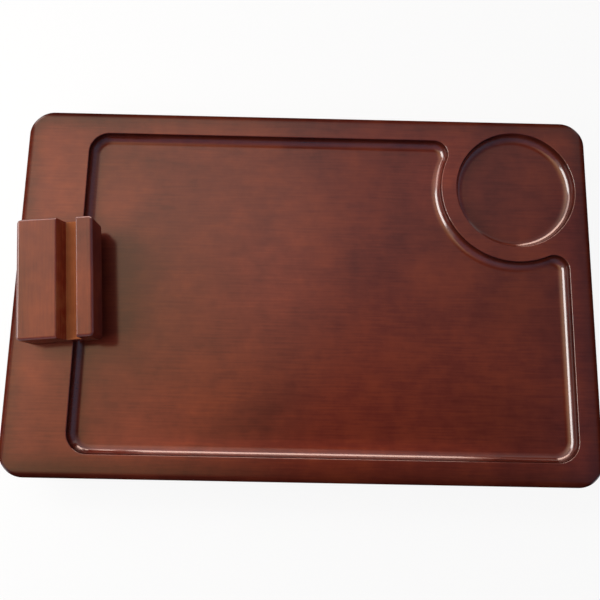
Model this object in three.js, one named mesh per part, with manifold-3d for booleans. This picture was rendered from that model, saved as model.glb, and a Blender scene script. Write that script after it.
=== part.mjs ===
// Wooden sofa armrest tray, in millimetres with +Z up. A routed board carries a turning phone block on
// its wide left rim. Two sprung clamp panels fold flat under the board and open to grip a sofa arm.
// The origin is the middle of the footprint, on the surface that the folded panels lie on.

import * as THREE from 'three';
import { mergeVertices } from 'three/addons/utils/BufferGeometryUtils.js';
import Module from 'manifold-3d';

// Tray board
const BOARD_LENGTH = 390;
const BOARD_WIDTH = 250;
const BOARD_FLOOR = 10;
const BOARD_CORNER_RADIUS = 17;
const BOARD_EDGE_RADIUS = 3;
const RIM_WIDTH = 15.5;
const LEFT_RIM_WIDTH = 43;
const WELL_DEPTH = 8;
const WELL_CORNER_RADIUS = 14;
const COVE_RADIUS = 6;

// Cup recess, set into the rear right corner with a flat ring of rim left around it
const CUP_RADIUS = 41.1;
const CUP_DEPTH = 8;
const CUP_CENTRE_FROM_EDGES = 50;
const CUP_RING_WIDTH = 10.5;
const NOTCH_RADIUS = 10;

// Phone block
const BLOCK_ACROSS = 48.9;
const BLOCK_ALONG = 79;
const BLOCK_HEIGHT = 21.5;
const BLOCK_CORNER_RADIUS = 3;
const BLOCK_EDGE_RADIUS = 2;
const BLOCK_TURN = THREE.MathUtils.degToRad(5);
const PIVOT_FROM_BLOCK_SIDE = 10.7;
const SLOT_DEPTH = 11;
const SLOT_FLOOR_WIDTH = 9.9;
const SLOT_LIP = 10.8;
const SLOT_LEAN = THREE.MathUtils.degToRad(15);

// Swivel under the phone block
const SWIVEL_SHANK_RADIUS = 2.5;
const SWIVEL_HEAD_RADIUS = 4.75;
const SWIVEL_HEAD_HEIGHT = 3.2;
const SWIVEL_HEAD_SIDE = 1.6;
const SWIVEL_CROWN_RADIUS = 3;
const SWIVEL_WASHER_RADIUS = 6;
const SWIVEL_WASHER_THICKNESS = 1;
const COUNTERBORE_DEPTH = 6;
const INSERT_RADIUS = 3.6;
const INSERT_LENGTH = 10;
const FRICTION_WASHER_RADIUS = 9;
const FRICTION_WASHER_THICKNESS = 0.6;

// Clamp panels
const PANEL_THICKNESS = 10;
const PANEL_SIDE_MARGIN = 30;
const PANEL_CORNER_RADIUS = 12;
const PANEL_EDGE_RADIUS = 2;
const PANEL_SETBACK = 4;
const FINGER_GAP = 32;

// Hinges
const HINGE_FROM_BOARD_END = 45;
const HINGE_FROM_PANEL_SIDE = 35;
const LEAF_THICKNESS = 1;
const LEAF_LENGTH = 26;
const KNUCKLE_LENGTH = 7;
const PIN_RADIUS = 1.25;
const PIN_HEAD_RADIUS = 2.2;
const PIN_HEAD_LENGTH = 0.8;
const WIRE_RADIUS = 0.55;
const SPRING_TURNS = 7.5;
const SPRING_PITCH = 2.2;
const SPRING_LEG = 13;
const SPRING_ROOM = 0.35;

// Wood screws in the hinge leaves
const SCREW_RADIUS = 1.5;
const SCREW_HEAD_RADIUS = 2.5;
const SCREW_COVER = 3;
const SCREW_POINT = 2;
const SCREW_FROM_LEAF_END = 7;
const SCREW_FROM_LEAF_SIDE = 7.5;

// Rubber grips
const GRIP_BASE = 2.4;
const GRIP_RIB_WIDTH = 4.4;
const GRIP_GROOVE_WIDTH = 1.6;
const GRIP_SIDE_MARGIN = 10;
const PANEL_GRIP_RIBS = 11;
const PANEL_GRIP_FROM_TIP = 6;
const STOP_GRIP_RIBS = 7;
const STOP_GRIP_FROM_TIP = 14;
const CENTRE_GRIP_RIBS = 3;

// Clearances
const FIT_CLEARANCE = 0.3;
const BORE_CLEARANCE = 0.2;

// How finely round shapes are cut
const ARC_STEP = THREE.MathUtils.degToRad(10);
const COVE_STEPS = 4;
const EDGE_STEPS = 3;
const CUP_SIDES = 40;
const ROUND_SIDES = 20;
const SMALL_SIDES = 12;
const CURL_STEPS = 8;
const WIRE_SIDES = 5;
const OVERCUT = 1;

// Derived levels and places
const COIL_RADIUS = PIN_RADIUS + SPRING_ROOM + WIRE_RADIUS;
const HALF_GAP = COIL_RADIUS + WIRE_RADIUS + FIT_CLEARANCE + LEAF_THICKNESS;
const KNUCKLE_RADIUS = HALF_GAP - FIT_CLEARANCE;
const PIN_BORE_RADIUS = PIN_RADIUS + BORE_CLEARANCE;
const PIN_LEVEL = PANEL_THICKNESS + HALF_GAP;
const BOARD_BOTTOM = PIN_LEVEL + HALF_GAP;
const BOARD_THICKNESS = BOARD_FLOOR + WELL_DEPTH;
const BOARD_TOP = BOARD_BOTTOM + BOARD_THICKNESS;
const CUP_X = BOARD_LENGTH / 2 - CUP_CENTRE_FROM_EDGES;
const CUP_Y = BOARD_WIDTH / 2 - CUP_CENTRE_FROM_EDGES;
const PIVOT_X = LEFT_RIM_WIDTH / 2 - BOARD_LENGTH / 2;
const BLOCK_BOTTOM = BOARD_TOP + FRICTION_WASHER_THICKNESS + FIT_CLEARANCE;
const COUNTERBORE_TOP = BOARD_BOTTOM + COUNTERBORE_DEPTH;
const HINGE_X = BOARD_LENGTH / 2 - HINGE_FROM_BOARD_END;
const PANEL_WIDTH = BOARD_WIDTH - 2 * PANEL_SIDE_MARGIN;
const PANEL_TIP = HINGE_X - FINGER_GAP / 2;
const HINGE_Y = PANEL_WIDTH / 2 - HINGE_FROM_PANEL_SIDE;
const GRIP_LENGTH = PANEL_WIDTH - 2 * GRIP_SIDE_MARGIN;
const GRIP_THICKNESS = HALF_GAP - FIT_CLEARANCE / 2;

// Knuckles along the pin, outwards from the spring in the middle
const SPRING_HALF = SPRING_TURNS * SPRING_PITCH / 2;
const PANEL_KNUCKLE_START = SPRING_HALF + WIRE_RADIUS + FIT_CLEARANCE;
const PANEL_KNUCKLE_END = PANEL_KNUCKLE_START + KNUCKLE_LENGTH;
const BOARD_KNUCKLE_START = PANEL_KNUCKLE_END + FIT_CLEARANCE;
const HINGE_HALF = BOARD_KNUCKLE_START + KNUCKLE_LENGTH;
const LEAF_NOTCH = KNUCKLE_RADIUS + 2 * FIT_CLEARANCE;

// Each clamp side is made as the left one, inboard along +X from its pin line, and the right one is the
// same turned half round. Its hinges are named in the order of their places along Y before the turn.
const SIDES = [
  { name: 'left', turn: 0, first: 'front', second: 'rear' },
  { name: 'right', turn: Math.PI, first: 'rear', second: 'front' },
];

// Finishes
const STAINED_WOOD = { color: 0x6a322c, roughness: 0.35, metalness: 0 };
const BLACK_STEEL = { color: 0x232325, roughness: 0.45, metalness: 0.6 };
const SPRING_STEEL = { color: 0x8d8f93, roughness: 0.3, metalness: 1 };
const ZINC_STEEL = { color: 0xb9bcc0, roughness: 0.35, metalness: 1 };
const BRASS = { color: 0xb08a45, roughness: 0.35, metalness: 1 };
const RUBBER = { color: 0x1d1d1f, roughness: 0.8, metalness: 0 };
const NYLON = { color: 0xe6e3da, roughness: 0.5, metalness: 0 };

const wasm = await Module();
wasm.setup();

// Solids and booleans

function toSolid(geometry) {
  const bare = geometry.clone();
  bare.deleteAttribute('normal');
  bare.deleteAttribute('uv');
  const merged = mergeVertices(bare, 1e-4);
  const vertProperties = new Float32Array(merged.attributes.position.array);
  const triVerts = new Uint32Array(merged.index.array);
  return new wasm.Manifold(new wasm.Mesh({ numProp: 3, vertProperties, triVerts }));
}

function toGeometry(solid) {
  const mesh = solid.getMesh();
  const geometry = new THREE.BufferGeometry();
  geometry.setAttribute('position', new THREE.BufferAttribute(mesh.vertProperties, 3));
  geometry.setIndex(new THREE.BufferAttribute(mesh.triVerts, 1));
  geometry.computeVertexNormals();
  return geometry;
}

function cut(body, tools) {
  const result = tools.reduce((solid, tool) => solid.subtract(toSolid(tool)), toSolid(body));
  return toGeometry(result);
}

function join(pieces) {
  const result = pieces.slice(1).reduce((solid, piece) => solid.add(toSolid(piece)), toSolid(pieces[0]));
  return toGeometry(result);
}

function piece(name, geometry, finish) {
  const mesh = new THREE.Mesh(geometry, new THREE.MeshStandardMaterial(finish));
  mesh.name = name;
  return mesh;
}

// Outlines

function arcPoints(x, y, radius, from, to) {
  const steps = Math.max(2, Math.ceil(Math.abs(to - from) / ARC_STEP));
  const points = [];
  for (let i = 0; i <= steps; i += 1) {
    const angle = from + (to - from) * i / steps;
    points.push(new THREE.Vector2(x + radius * Math.cos(angle), y + radius * Math.sin(angle)));
  }
  return points;
}

function roundedRectangle(left, right, front, rear, radius) {
  const quarter = Math.PI / 2;
  return new THREE.Shape([
    ...arcPoints(right - radius, front + radius, radius, -quarter, 0),
    ...arcPoints(right - radius, rear - radius, radius, 0, quarter),
    ...arcPoints(left + radius, rear - radius, radius, quarter, 2 * quarter),
    ...arcPoints(left + radius, front + radius, radius, 2 * quarter, 3 * quarter),
  ]);
}

// The well follows the rim on three sides and swings round the cup recess, with a small round notch
// where that curve meets the right edge and the rear edge.
function wellOutline() {
  const quarter = Math.PI / 2;
  const left = LEFT_RIM_WIDTH - BOARD_LENGTH / 2;
  const right = BOARD_LENGTH / 2 - RIM_WIDTH;
  const rear = BOARD_WIDTH / 2 - RIM_WIDTH;
  const front = -rear;
  const corner = WELL_CORNER_RADIUS;
  const ring = CUP_RADIUS + CUP_RING_WIDTH;
  const reach = ring + NOTCH_RADIUS;
  const rightNotchX = right - NOTCH_RADIUS;
  const rightNotchY = CUP_Y - Math.sqrt(reach ** 2 - (rightNotchX - CUP_X) ** 2);
  const rearNotchY = rear - NOTCH_RADIUS;
  const rearNotchX = CUP_X - Math.sqrt(reach ** 2 - (rearNotchY - CUP_Y) ** 2);
  const ringStart = Math.atan2(rightNotchY - CUP_Y, rightNotchX - CUP_X);
  const ringEnd = Math.atan2(rearNotchY - CUP_Y, rearNotchX - CUP_X) - 2 * Math.PI;
  return new THREE.Shape([
    ...arcPoints(right - corner, front + corner, corner, -quarter, 0),
    ...arcPoints(rightNotchX, rightNotchY, NOTCH_RADIUS, 0, ringStart + Math.PI),
    ...arcPoints(CUP_X, CUP_Y, ring, ringStart, ringEnd).slice(1, -1),
    ...arcPoints(rearNotchX, rearNotchY, NOTCH_RADIUS, ringEnd + Math.PI, quarter),
    ...arcPoints(left + corner, rear - corner, corner, quarter, 2 * quarter),
    ...arcPoints(left + corner, front + corner, corner, 2 * quarter, 3 * quarter),
  ]);
}

// Basic forms

// A flat plate of the given outline from one level to another, with both edges rounded inside it.
function roundedPlate(outline, bottom, top, radius, steps) {
  const geometry = new THREE.ExtrudeGeometry(outline, {
    depth: top - bottom - 2 * radius,
    bevelThickness: radius,
    bevelSize: radius,
    bevelOffset: -radius,
    bevelSegments: steps,
  });
  return geometry.translate(0, 0, bottom + radius);
}

function plainPlate(outline, bottom, top) {
  const geometry = new THREE.ExtrudeGeometry(outline, { depth: top - bottom, bevelEnabled: false });
  return geometry.translate(0, 0, bottom);
}

// A bar of the given outline in X and Z, running along Y.
function barAlongY(outline, start, end, sides = SMALL_SIDES) {
  const geometry = new THREE.ExtrudeGeometry(outline, {
    depth: end - start,
    bevelEnabled: false,
    curveSegments: sides / 2,
  });
  return geometry.rotateX(Math.PI / 2).translate(0, end, 0);
}

// A round solid about the Z axis from pairs of radius and height, listed from the bottom up.
function turned(profile, sides) {
  const points = profile.map(([radius, height]) => new THREE.Vector2(radius, height));
  return new THREE.LatheGeometry(points, sides).rotateX(Math.PI / 2);
}

function turnedRod(radius, bottom, top, sides) {
  return turned([[0, bottom], [radius, bottom], [radius, top], [0, top]], sides);
}

function turnedRing(inner, outer, bottom, top, sides) {
  return turned([[inner, bottom], [outer, bottom], [outer, top], [inner, top], [inner, bottom]], sides);
}

// A round wire through the given points, with flat closed ends.
function wire(points, radius, sides) {
  const positions = [];
  const index = [];
  const last = points.length - 1;
  const tangents = points.map((_, i) => {
    const before = points[Math.max(0, i - 1)];
    const after = points[Math.min(last, i + 1)];
    return after.clone().sub(before).normalize();
  });
  const side = new THREE.Vector3(0, 1, 0).projectOnPlane(tangents[0]).normalize();
  points.forEach((point, i) => {
    side.projectOnPlane(tangents[i]).normalize();
    const up = tangents[i].clone().cross(side);
    for (let k = 0; k < sides; k += 1) {
      const angle = 2 * Math.PI * k / sides;
      const rim = side.clone().multiplyScalar(radius * Math.cos(angle));
      rim.addScaledVector(up, radius * Math.sin(angle)).add(point);
      positions.push(...rim.toArray());
    }
  });
  for (let i = 0; i < last; i += 1) {
    for (let k = 0; k < sides; k += 1) {
      const a = i * sides + k;
      const b = i * sides + (k + 1) % sides;
      index.push(a, b, b + sides, a, b + sides, a + sides);
    }
  }
  for (let k = 1; k < sides - 1; k += 1) {
    const end = last * sides;
    index.push(0, k + 1, k);
    index.push(end, end + k, end + k + 1);
  }
  const geometry = new THREE.BufferGeometry();
  geometry.setAttribute('position', new THREE.Float32BufferAttribute(positions, 3));
  geometry.setIndex(index);
  geometry.computeVertexNormals();
  return geometry;
}

// Tray board

function cupCutter() {
  const floor = BOARD_TOP - CUP_DEPTH;
  const profile = [[0, floor]];
  for (let i = 0; i <= COVE_STEPS; i += 1) {
    const angle = i / COVE_STEPS * Math.PI / 2;
    const inset = COVE_RADIUS * (1 - Math.sin(angle));
    profile.push([CUP_RADIUS - inset, floor + COVE_RADIUS * (1 - Math.cos(angle))]);
  }
  profile.push([CUP_RADIUS, BOARD_TOP + OVERCUT], [0, BOARD_TOP + OVERCUT]);
  return turned(profile, CUP_SIDES).translate(CUP_X, CUP_Y, 0);
}

function wellCutter() {
  const floor = BOARD_TOP - WELL_DEPTH;
  const top = BOARD_TOP + COVE_RADIUS + OVERCUT;
  return roundedPlate(wellOutline(), floor, top, COVE_RADIUS, COVE_STEPS);
}

function swivelCutters() {
  const bore = SWIVEL_SHANK_RADIUS + FIT_CLEARANCE;
  const counterbore = SWIVEL_WASHER_RADIUS + FIT_CLEARANCE;
  const through = turnedRod(bore, BOARD_BOTTOM - OVERCUT, BOARD_TOP + OVERCUT, ROUND_SIDES);
  const seat = turnedRod(counterbore, BOARD_BOTTOM - OVERCUT, COUNTERBORE_TOP, ROUND_SIDES);
  return [through, seat].map((tool) => tool.translate(PIVOT_X, 0, 0));
}

function trayBoard() {
  const x = BOARD_LENGTH / 2;
  const y = BOARD_WIDTH / 2;
  const outline = roundedRectangle(-x, x, -y, y, BOARD_CORNER_RADIUS);
  const blank = roundedPlate(outline, BOARD_BOTTOM, BOARD_TOP, BOARD_EDGE_RADIUS, EDGE_STEPS);
  const pilots = [];
  for (const side of SIDES) {
    for (const [, place] of screwPlaces(side)) {
      pilots.push(pilotHole(BOARD_FLOOR).translate(0, 0, BOARD_BOTTOM).applyMatrix4(place));
    }
  }
  const geometry = cut(blank, [wellCutter(), cupCutter(), ...swivelCutters(), ...pilots]);
  return piece('tray_board', geometry, STAINED_WOOD);
}

// Phone block and its swivel, about the pivot at the group's origin

function slotCutter(top) {
  const right = BLOCK_ACROSS - PIVOT_FROM_BLOCK_SIDE - SLOT_LIP;
  const left = right - SLOT_FLOOR_WIDTH;
  const floor = top - SLOT_DEPTH;
  const mouth = top + OVERCUT;
  const outline = new THREE.Shape([
    new THREE.Vector2(left, floor),
    new THREE.Vector2(right, floor),
    new THREE.Vector2(right, mouth),
    new THREE.Vector2(left - (mouth - floor) * Math.tan(SLOT_LEAN), mouth),
  ]);
  return barAlongY(outline, -BLOCK_ALONG / 2 - OVERCUT, BLOCK_ALONG / 2 + OVERCUT);
}

function phoneBlock() {
  const top = BLOCK_BOTTOM + BLOCK_HEIGHT;
  const left = -PIVOT_FROM_BLOCK_SIDE;
  const half = BLOCK_ALONG / 2;
  const outline = roundedRectangle(left, left + BLOCK_ACROSS, -half, half, BLOCK_CORNER_RADIUS);
  const blank = roundedPlate(outline, BLOCK_BOTTOM, top, BLOCK_EDGE_RADIUS, EDGE_STEPS);
  const holeRadius = INSERT_RADIUS + BORE_CLEARANCE;
  const holeTop = BLOCK_BOTTOM + INSERT_LENGTH + FIT_CLEARANCE;
  const insertHole = turnedRod(holeRadius, BLOCK_BOTTOM - OVERCUT, holeTop, ROUND_SIDES);
  return piece('phone_block', cut(blank, [slotCutter(top), insertHole]), STAINED_WOOD);
}

function threadedInsert() {
  const bore = SWIVEL_SHANK_RADIUS + BORE_CLEARANCE;
  const top = BLOCK_BOTTOM + INSERT_LENGTH;
  return piece('threaded_insert', turnedRing(bore, INSERT_RADIUS, BLOCK_BOTTOM, top, ROUND_SIDES), BRASS);
}

function swivelScrew() {
  const seat = COUNTERBORE_TOP - SWIVEL_WASHER_THICKNESS;
  const bottom = seat - SWIVEL_HEAD_HEIGHT;
  const tip = BLOCK_BOTTOM + INSERT_LENGTH - FIT_CLEARANCE;
  const geometry = turned([
    [0, bottom],
    [SWIVEL_CROWN_RADIUS, bottom],
    [SWIVEL_HEAD_RADIUS, seat - SWIVEL_HEAD_SIDE],
    [SWIVEL_HEAD_RADIUS, seat],
    [SWIVEL_SHANK_RADIUS, seat],
    [SWIVEL_SHANK_RADIUS, tip],
    [0, tip],
  ], ROUND_SIDES);
  return piece('swivel_screw', geometry, ZINC_STEEL);
}

function swivelWasher() {
  const bore = SWIVEL_SHANK_RADIUS + BORE_CLEARANCE;
  const bottom = COUNTERBORE_TOP - SWIVEL_WASHER_THICKNESS;
  const geometry = turnedRing(bore, SWIVEL_WASHER_RADIUS, bottom, COUNTERBORE_TOP, ROUND_SIDES);
  return piece('swivel_washer', geometry.translate(PIVOT_X, 0, 0), ZINC_STEEL);
}

function frictionWasher() {
  const bore = SWIVEL_SHANK_RADIUS + FIT_CLEARANCE;
  const top = BOARD_TOP + FRICTION_WASHER_THICKNESS;
  const geometry = turnedRing(bore, FRICTION_WASHER_RADIUS, BOARD_TOP, top, ROUND_SIDES);
  return piece('friction_washer', geometry.translate(PIVOT_X, 0, 0), NYLON);
}

function phoneHolder() {
  const group = new THREE.Group();
  group.position.set(PIVOT_X, 0, 0);
  group.rotation.z = BLOCK_TURN;
  group.add(phoneBlock(), threadedInsert(), swivelScrew());
  return group;
}

// Rubber grips

// A strip with square ribs along Y, its base at level 0 and its ribs pointing up.
function ribbedStrip(ribs) {
  const pitch = GRIP_RIB_WIDTH + GRIP_GROOVE_WIDTH;
  const width = ribs * pitch - GRIP_GROOVE_WIDTH;
  const points = [new THREE.Vector2(width / 2, 0)];
  for (let i = ribs - 1; i >= 0; i -= 1) {
    const left = i * pitch - width / 2;
    const right = left + GRIP_RIB_WIDTH;
    if (i < ribs - 1) {
      points.push(new THREE.Vector2(right, GRIP_BASE));
    }
    points.push(new THREE.Vector2(right, GRIP_THICKNESS));
    points.push(new THREE.Vector2(left, GRIP_THICKNESS));
    if (i > 0) {
      points.push(new THREE.Vector2(left, GRIP_BASE));
    }
  }
  points.push(new THREE.Vector2(-width / 2, 0));
  return { width, geometry: barAlongY(new THREE.Shape(points), -GRIP_LENGTH / 2, GRIP_LENGTH / 2) };
}

// Under the board the strip hangs upside down from the board's lower face.
function boardGrip(name, ribs, centreX) {
  const { geometry } = ribbedStrip(ribs);
  return piece(name, geometry.rotateY(Math.PI).translate(centreX, 0, BOARD_BOTTOM), RUBBER);
}

function stopGripCentre() {
  const { width } = ribbedStrip(STOP_GRIP_RIBS);
  return FINGER_GAP / 2 + STOP_GRIP_FROM_TIP + width / 2;
}

// Clamp sides

function sideMatrix(side) {
  return new THREE.Matrix4().makeRotationZ(side.turn).multiply(
    new THREE.Matrix4().makeTranslation(-HINGE_X, 0, 0),
  );
}

function hingePlaces(side) {
  return [[side.first, -HINGE_Y], [side.second, HINGE_Y]];
}

function screwSpots() {
  const x = LEAF_LENGTH - SCREW_FROM_LEAF_END;
  const y = HINGE_HALF - SCREW_FROM_LEAF_SIDE;
  return [[1, x, -y], [2, x, y]];
}

// Name and place of every screw on one side, at level 0.
function screwPlaces(side) {
  const places = [];
  for (const [hinge, hingeY] of hingePlaces(side)) {
    for (const [number, x, y] of screwSpots()) {
      const spot = new THREE.Matrix4().makeTranslation(x, hingeY + y, 0);
      places.push([`${side.name}_${hinge}`, sideMatrix(side).multiply(spot), number]);
    }
  }
  return places;
}

// A hole upwards from level 0 for a screw in wood of the given thickness.
function pilotHole(wood) {
  const radius = SCREW_RADIUS + BORE_CLEARANCE;
  return turnedRod(radius, -OVERCUT, wood - SCREW_COVER + FIT_CLEARANCE, SMALL_SIDES);
}

// A countersunk screw pointing up, its head's face at level 0 and as deep as the leaf.
function woodScrew(wood) {
  const shank = LEAF_THICKNESS;
  const tip = shank + wood - SCREW_COVER;
  return turned([
    [0, 0],
    [SCREW_HEAD_RADIUS, 0],
    [SCREW_RADIUS, shank],
    [SCREW_RADIUS, tip - SCREW_POINT],
    [0, tip],
  ], SMALL_SIDES);
}

// A leaf flat on the level above the pin, with a knuckle rolled round the pin at each of two places.
function hingeLeaf(knuckleStart, knuckleEnd) {
  const inner = HALF_GAP - LEAF_THICKNESS;
  const outline = new THREE.Shape([
    new THREE.Vector2(LEAF_NOTCH, -HINGE_HALF),
    new THREE.Vector2(LEAF_LENGTH, -HINGE_HALF),
    new THREE.Vector2(LEAF_LENGTH, HINGE_HALF),
    new THREE.Vector2(LEAF_NOTCH, HINGE_HALF),
  ]);
  const pieces = [plainPlate(outline, inner, HALF_GAP)];
  for (const start of [-knuckleEnd, knuckleStart]) {
    const end = start + KNUCKLE_LENGTH;
    const tab = new THREE.Shape([
      new THREE.Vector2(0, start),
      new THREE.Vector2(LEAF_NOTCH + OVERCUT, start),
      new THREE.Vector2(LEAF_NOTCH + OVERCUT, end),
      new THREE.Vector2(0, end),
    ]);
    const ring = new THREE.Shape().absarc(0, 0, KNUCKLE_RADIUS, 0, 2 * Math.PI);
    pieces.push(plainPlate(tab, inner, HALF_GAP), barAlongY(ring, start, end));
  }
  const bore = new THREE.Shape().absarc(0, 0, PIN_BORE_RADIUS, 0, 2 * Math.PI);
  const holes = [barAlongY(bore, -HINGE_HALF - OVERCUT, HINGE_HALF + OVERCUT)];
  for (const [, x, y] of screwSpots()) {
    const mouth = SCREW_HEAD_RADIUS + BORE_CLEARANCE;
    const back = SCREW_RADIUS + BORE_CLEARANCE;
    const slope = (mouth - back) / LEAF_THICKNESS;
    const hole = turned([
      [0, inner - OVERCUT],
      [mouth + OVERCUT * slope, inner - OVERCUT],
      [back, HALF_GAP],
      [back, HALF_GAP + OVERCUT],
      [0, HALF_GAP + OVERCUT],
    ], SMALL_SIDES);
    holes.push(hole.translate(x, y, 0));
  }
  return cut(join(pieces), holes);
}

function hingePin() {
  const end = HINGE_HALF + BORE_CLEARANCE;
  const headEnd = end + PIN_HEAD_LENGTH;
  const geometry = turned([
    [0, -headEnd],
    [PIN_HEAD_RADIUS, -headEnd],
    [PIN_HEAD_RADIUS, -end],
    [PIN_RADIUS, -end],
    [PIN_RADIUS, end],
    [PIN_HEAD_RADIUS, end],
    [PIN_HEAD_RADIUS, headEnd],
    [0, headEnd],
  ], SMALL_SIDES);
  return geometry.rotateX(Math.PI / 2);
}

// The wire runs in along the board leaf, winds round the pin and runs out along the panel leaf.
function springPath() {
  const points = [new THREE.Vector3(SPRING_LEG, -SPRING_HALF, COIL_RADIUS)];
  const steps = Math.round(SPRING_TURNS * CURL_STEPS);
  for (let i = 0; i <= steps; i += 1) {
    const share = i / steps;
    const angle = Math.PI / 2 + 2 * Math.PI * SPRING_TURNS * share;
    const y = SPRING_HALF * (2 * share - 1);
    points.push(new THREE.Vector3(COIL_RADIUS * Math.cos(angle), y, COIL_RADIUS * Math.sin(angle)));
  }
  points.push(new THREE.Vector3(SPRING_LEG, SPRING_HALF, -COIL_RADIUS));
  return points;
}

// The least gap between parts of the wire that are over half a curl apart along it.
function leastGap(points) {
  let least = Infinity;
  points.forEach((point, i) => {
    for (let j = i + CURL_STEPS / 2 + 1; j < points.length; j += 1) {
      least = Math.min(least, point.distanceTo(points[j]));
    }
  });
  return least - 2 * WIRE_RADIUS;
}

function clampSide(side) {
  const group = new THREE.Group();
  const place = sideMatrix(side);
  const half = PANEL_WIDTH / 2;
  const outline = roundedRectangle(PANEL_SETBACK, PANEL_TIP, -half, half, PANEL_CORNER_RADIUS);
  const blank = roundedPlate(outline, 0, PANEL_THICKNESS, PANEL_EDGE_RADIUS, EDGE_STEPS);
  const pilots = [];
  for (const [, hingeY] of hingePlaces(side)) {
    for (const [, x, y] of screwSpots()) {
      const hole = pilotHole(PANEL_THICKNESS).rotateX(Math.PI);
      pilots.push(hole.translate(x, hingeY + y, PANEL_THICKNESS));
    }
  }
  group.add(piece(`${side.name}_clamp_panel`, cut(blank, pilots).applyMatrix4(place), STAINED_WOOD));

  const { width, geometry } = ribbedStrip(PANEL_GRIP_RIBS);
  geometry.translate(PANEL_TIP - PANEL_GRIP_FROM_TIP - width / 2, 0, PANEL_THICKNESS);
  group.add(piece(`${side.name}_panel_grip`, geometry.applyMatrix4(place), RUBBER));

  for (const [hinge, hingeY] of hingePlaces(side)) {
    const name = `${side.name}_${hinge}`;
    const pinPlace = place.clone().multiply(new THREE.Matrix4().makeTranslation(0, hingeY, PIN_LEVEL));
    const boardLeaf = hingeLeaf(BOARD_KNUCKLE_START, HINGE_HALF);
    const panelLeaf = hingeLeaf(PANEL_KNUCKLE_START, PANEL_KNUCKLE_END).rotateX(Math.PI);
    const spring = wire(springPath(), WIRE_RADIUS, WIRE_SIDES);
    group.add(piece(`${name}_board_leaf`, boardLeaf.applyMatrix4(pinPlace), BLACK_STEEL));
    group.add(piece(`${name}_panel_leaf`, panelLeaf.applyMatrix4(pinPlace), BLACK_STEEL));
    group.add(piece(`${name}_hinge_pin`, hingePin().applyMatrix4(pinPlace), ZINC_STEEL));
    group.add(piece(`${name}_torsion_spring`, spring.applyMatrix4(pinPlace), SPRING_STEEL));
  }

  for (const [name, spot, number] of screwPlaces(side)) {
    const boardScrew = woodScrew(BOARD_FLOOR).translate(0, 0, BOARD_BOTTOM - LEAF_THICKNESS);
    const panelScrew = woodScrew(PANEL_THICKNESS).rotateX(Math.PI);
    panelScrew.translate(0, 0, PANEL_THICKNESS + LEAF_THICKNESS);
    group.add(piece(`${name}_board_screw_${number}`, boardScrew.applyMatrix4(spot), ZINC_STEEL));
    group.add(piece(`${name}_panel_screw_${number}`, panelScrew.applyMatrix4(spot), ZINC_STEEL));
  }
  return group;
}

console.log(`least gap between the spring's curls: ${leastGap(springPath()).toFixed(2)} mm`);

const tray = new THREE.Group();
tray.add(trayBoard(), phoneHolder(), swivelWasher(), frictionWasher());
tray.add(boardGrip('left_stop_grip', STOP_GRIP_RIBS, -stopGripCentre()));
tray.add(boardGrip('right_stop_grip', STOP_GRIP_RIBS, stopGripCentre()));
tray.add(boardGrip('centre_grip', CENTRE_GRIP_RIBS, 0));
for (const side of SIDES) {
  tray.add(clampSide(side));
}

export default tray;
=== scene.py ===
"""Looks of a wooden sofa armrest tray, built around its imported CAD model.

The file is laid out as an add-on and is run as a script. Each operator dresses one piece, or one group of
like pieces, and a panel in the sidebar lists them with their sizes and colours. Lengths are metres in the
CAD model's frame: +Z is up, the tray's front edge faces -Y and its phone block stands at -X.
"""

import math

import bmesh
import bpy
from bpy.props import FloatProperty, FloatVectorProperty, IntProperty, PointerProperty
from mathutils import Matrix, Vector


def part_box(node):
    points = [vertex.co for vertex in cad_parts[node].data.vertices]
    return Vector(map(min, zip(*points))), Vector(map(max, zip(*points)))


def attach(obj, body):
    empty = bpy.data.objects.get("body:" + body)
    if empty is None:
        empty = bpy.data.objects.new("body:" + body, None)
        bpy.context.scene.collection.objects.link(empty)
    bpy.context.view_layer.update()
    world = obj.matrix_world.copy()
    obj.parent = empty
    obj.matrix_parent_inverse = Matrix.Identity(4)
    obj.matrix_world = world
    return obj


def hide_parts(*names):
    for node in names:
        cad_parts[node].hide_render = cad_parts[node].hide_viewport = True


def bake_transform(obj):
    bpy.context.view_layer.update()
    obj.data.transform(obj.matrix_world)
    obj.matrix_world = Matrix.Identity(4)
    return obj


bl_info = {
    "name": "Sofa armrest tray",
    "version": (1, 0, 0),
    "blender": (4, 5, 0),
    "location": "3D View > Sidebar > Armrest tray",
    "description": "Dresses the CAD model of a sofa armrest tray in stained wood, steel and rubber",
    "category": "Object",
}

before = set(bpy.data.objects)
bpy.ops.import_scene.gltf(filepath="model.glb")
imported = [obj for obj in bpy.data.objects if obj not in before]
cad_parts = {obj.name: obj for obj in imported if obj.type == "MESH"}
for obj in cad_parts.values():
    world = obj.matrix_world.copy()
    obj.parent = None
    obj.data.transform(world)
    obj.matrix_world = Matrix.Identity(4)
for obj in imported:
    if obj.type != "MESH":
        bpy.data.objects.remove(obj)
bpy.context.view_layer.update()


def middle(node):
    """Middle of a CAD node's box."""
    low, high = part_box(node)
    return (low + high) / 2


MM = 0.001
UP = Vector((0, 0, 1))
QUARTER_TURN = math.pi / 2
BOARD_LOW, BOARD_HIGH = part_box("tray_board")
PIVOT = middle("friction_washer")
AT_PIVOT = Matrix.Translation((PIVOT.x, PIVOT.y, 0))
SIDES = ("left", "right")

# Each hinge and the body that its panel leaf rides on
HINGES = {f"{side}_{end}": f"{side}_clamp" for side in SIDES for end in ("front", "rear")}

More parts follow.
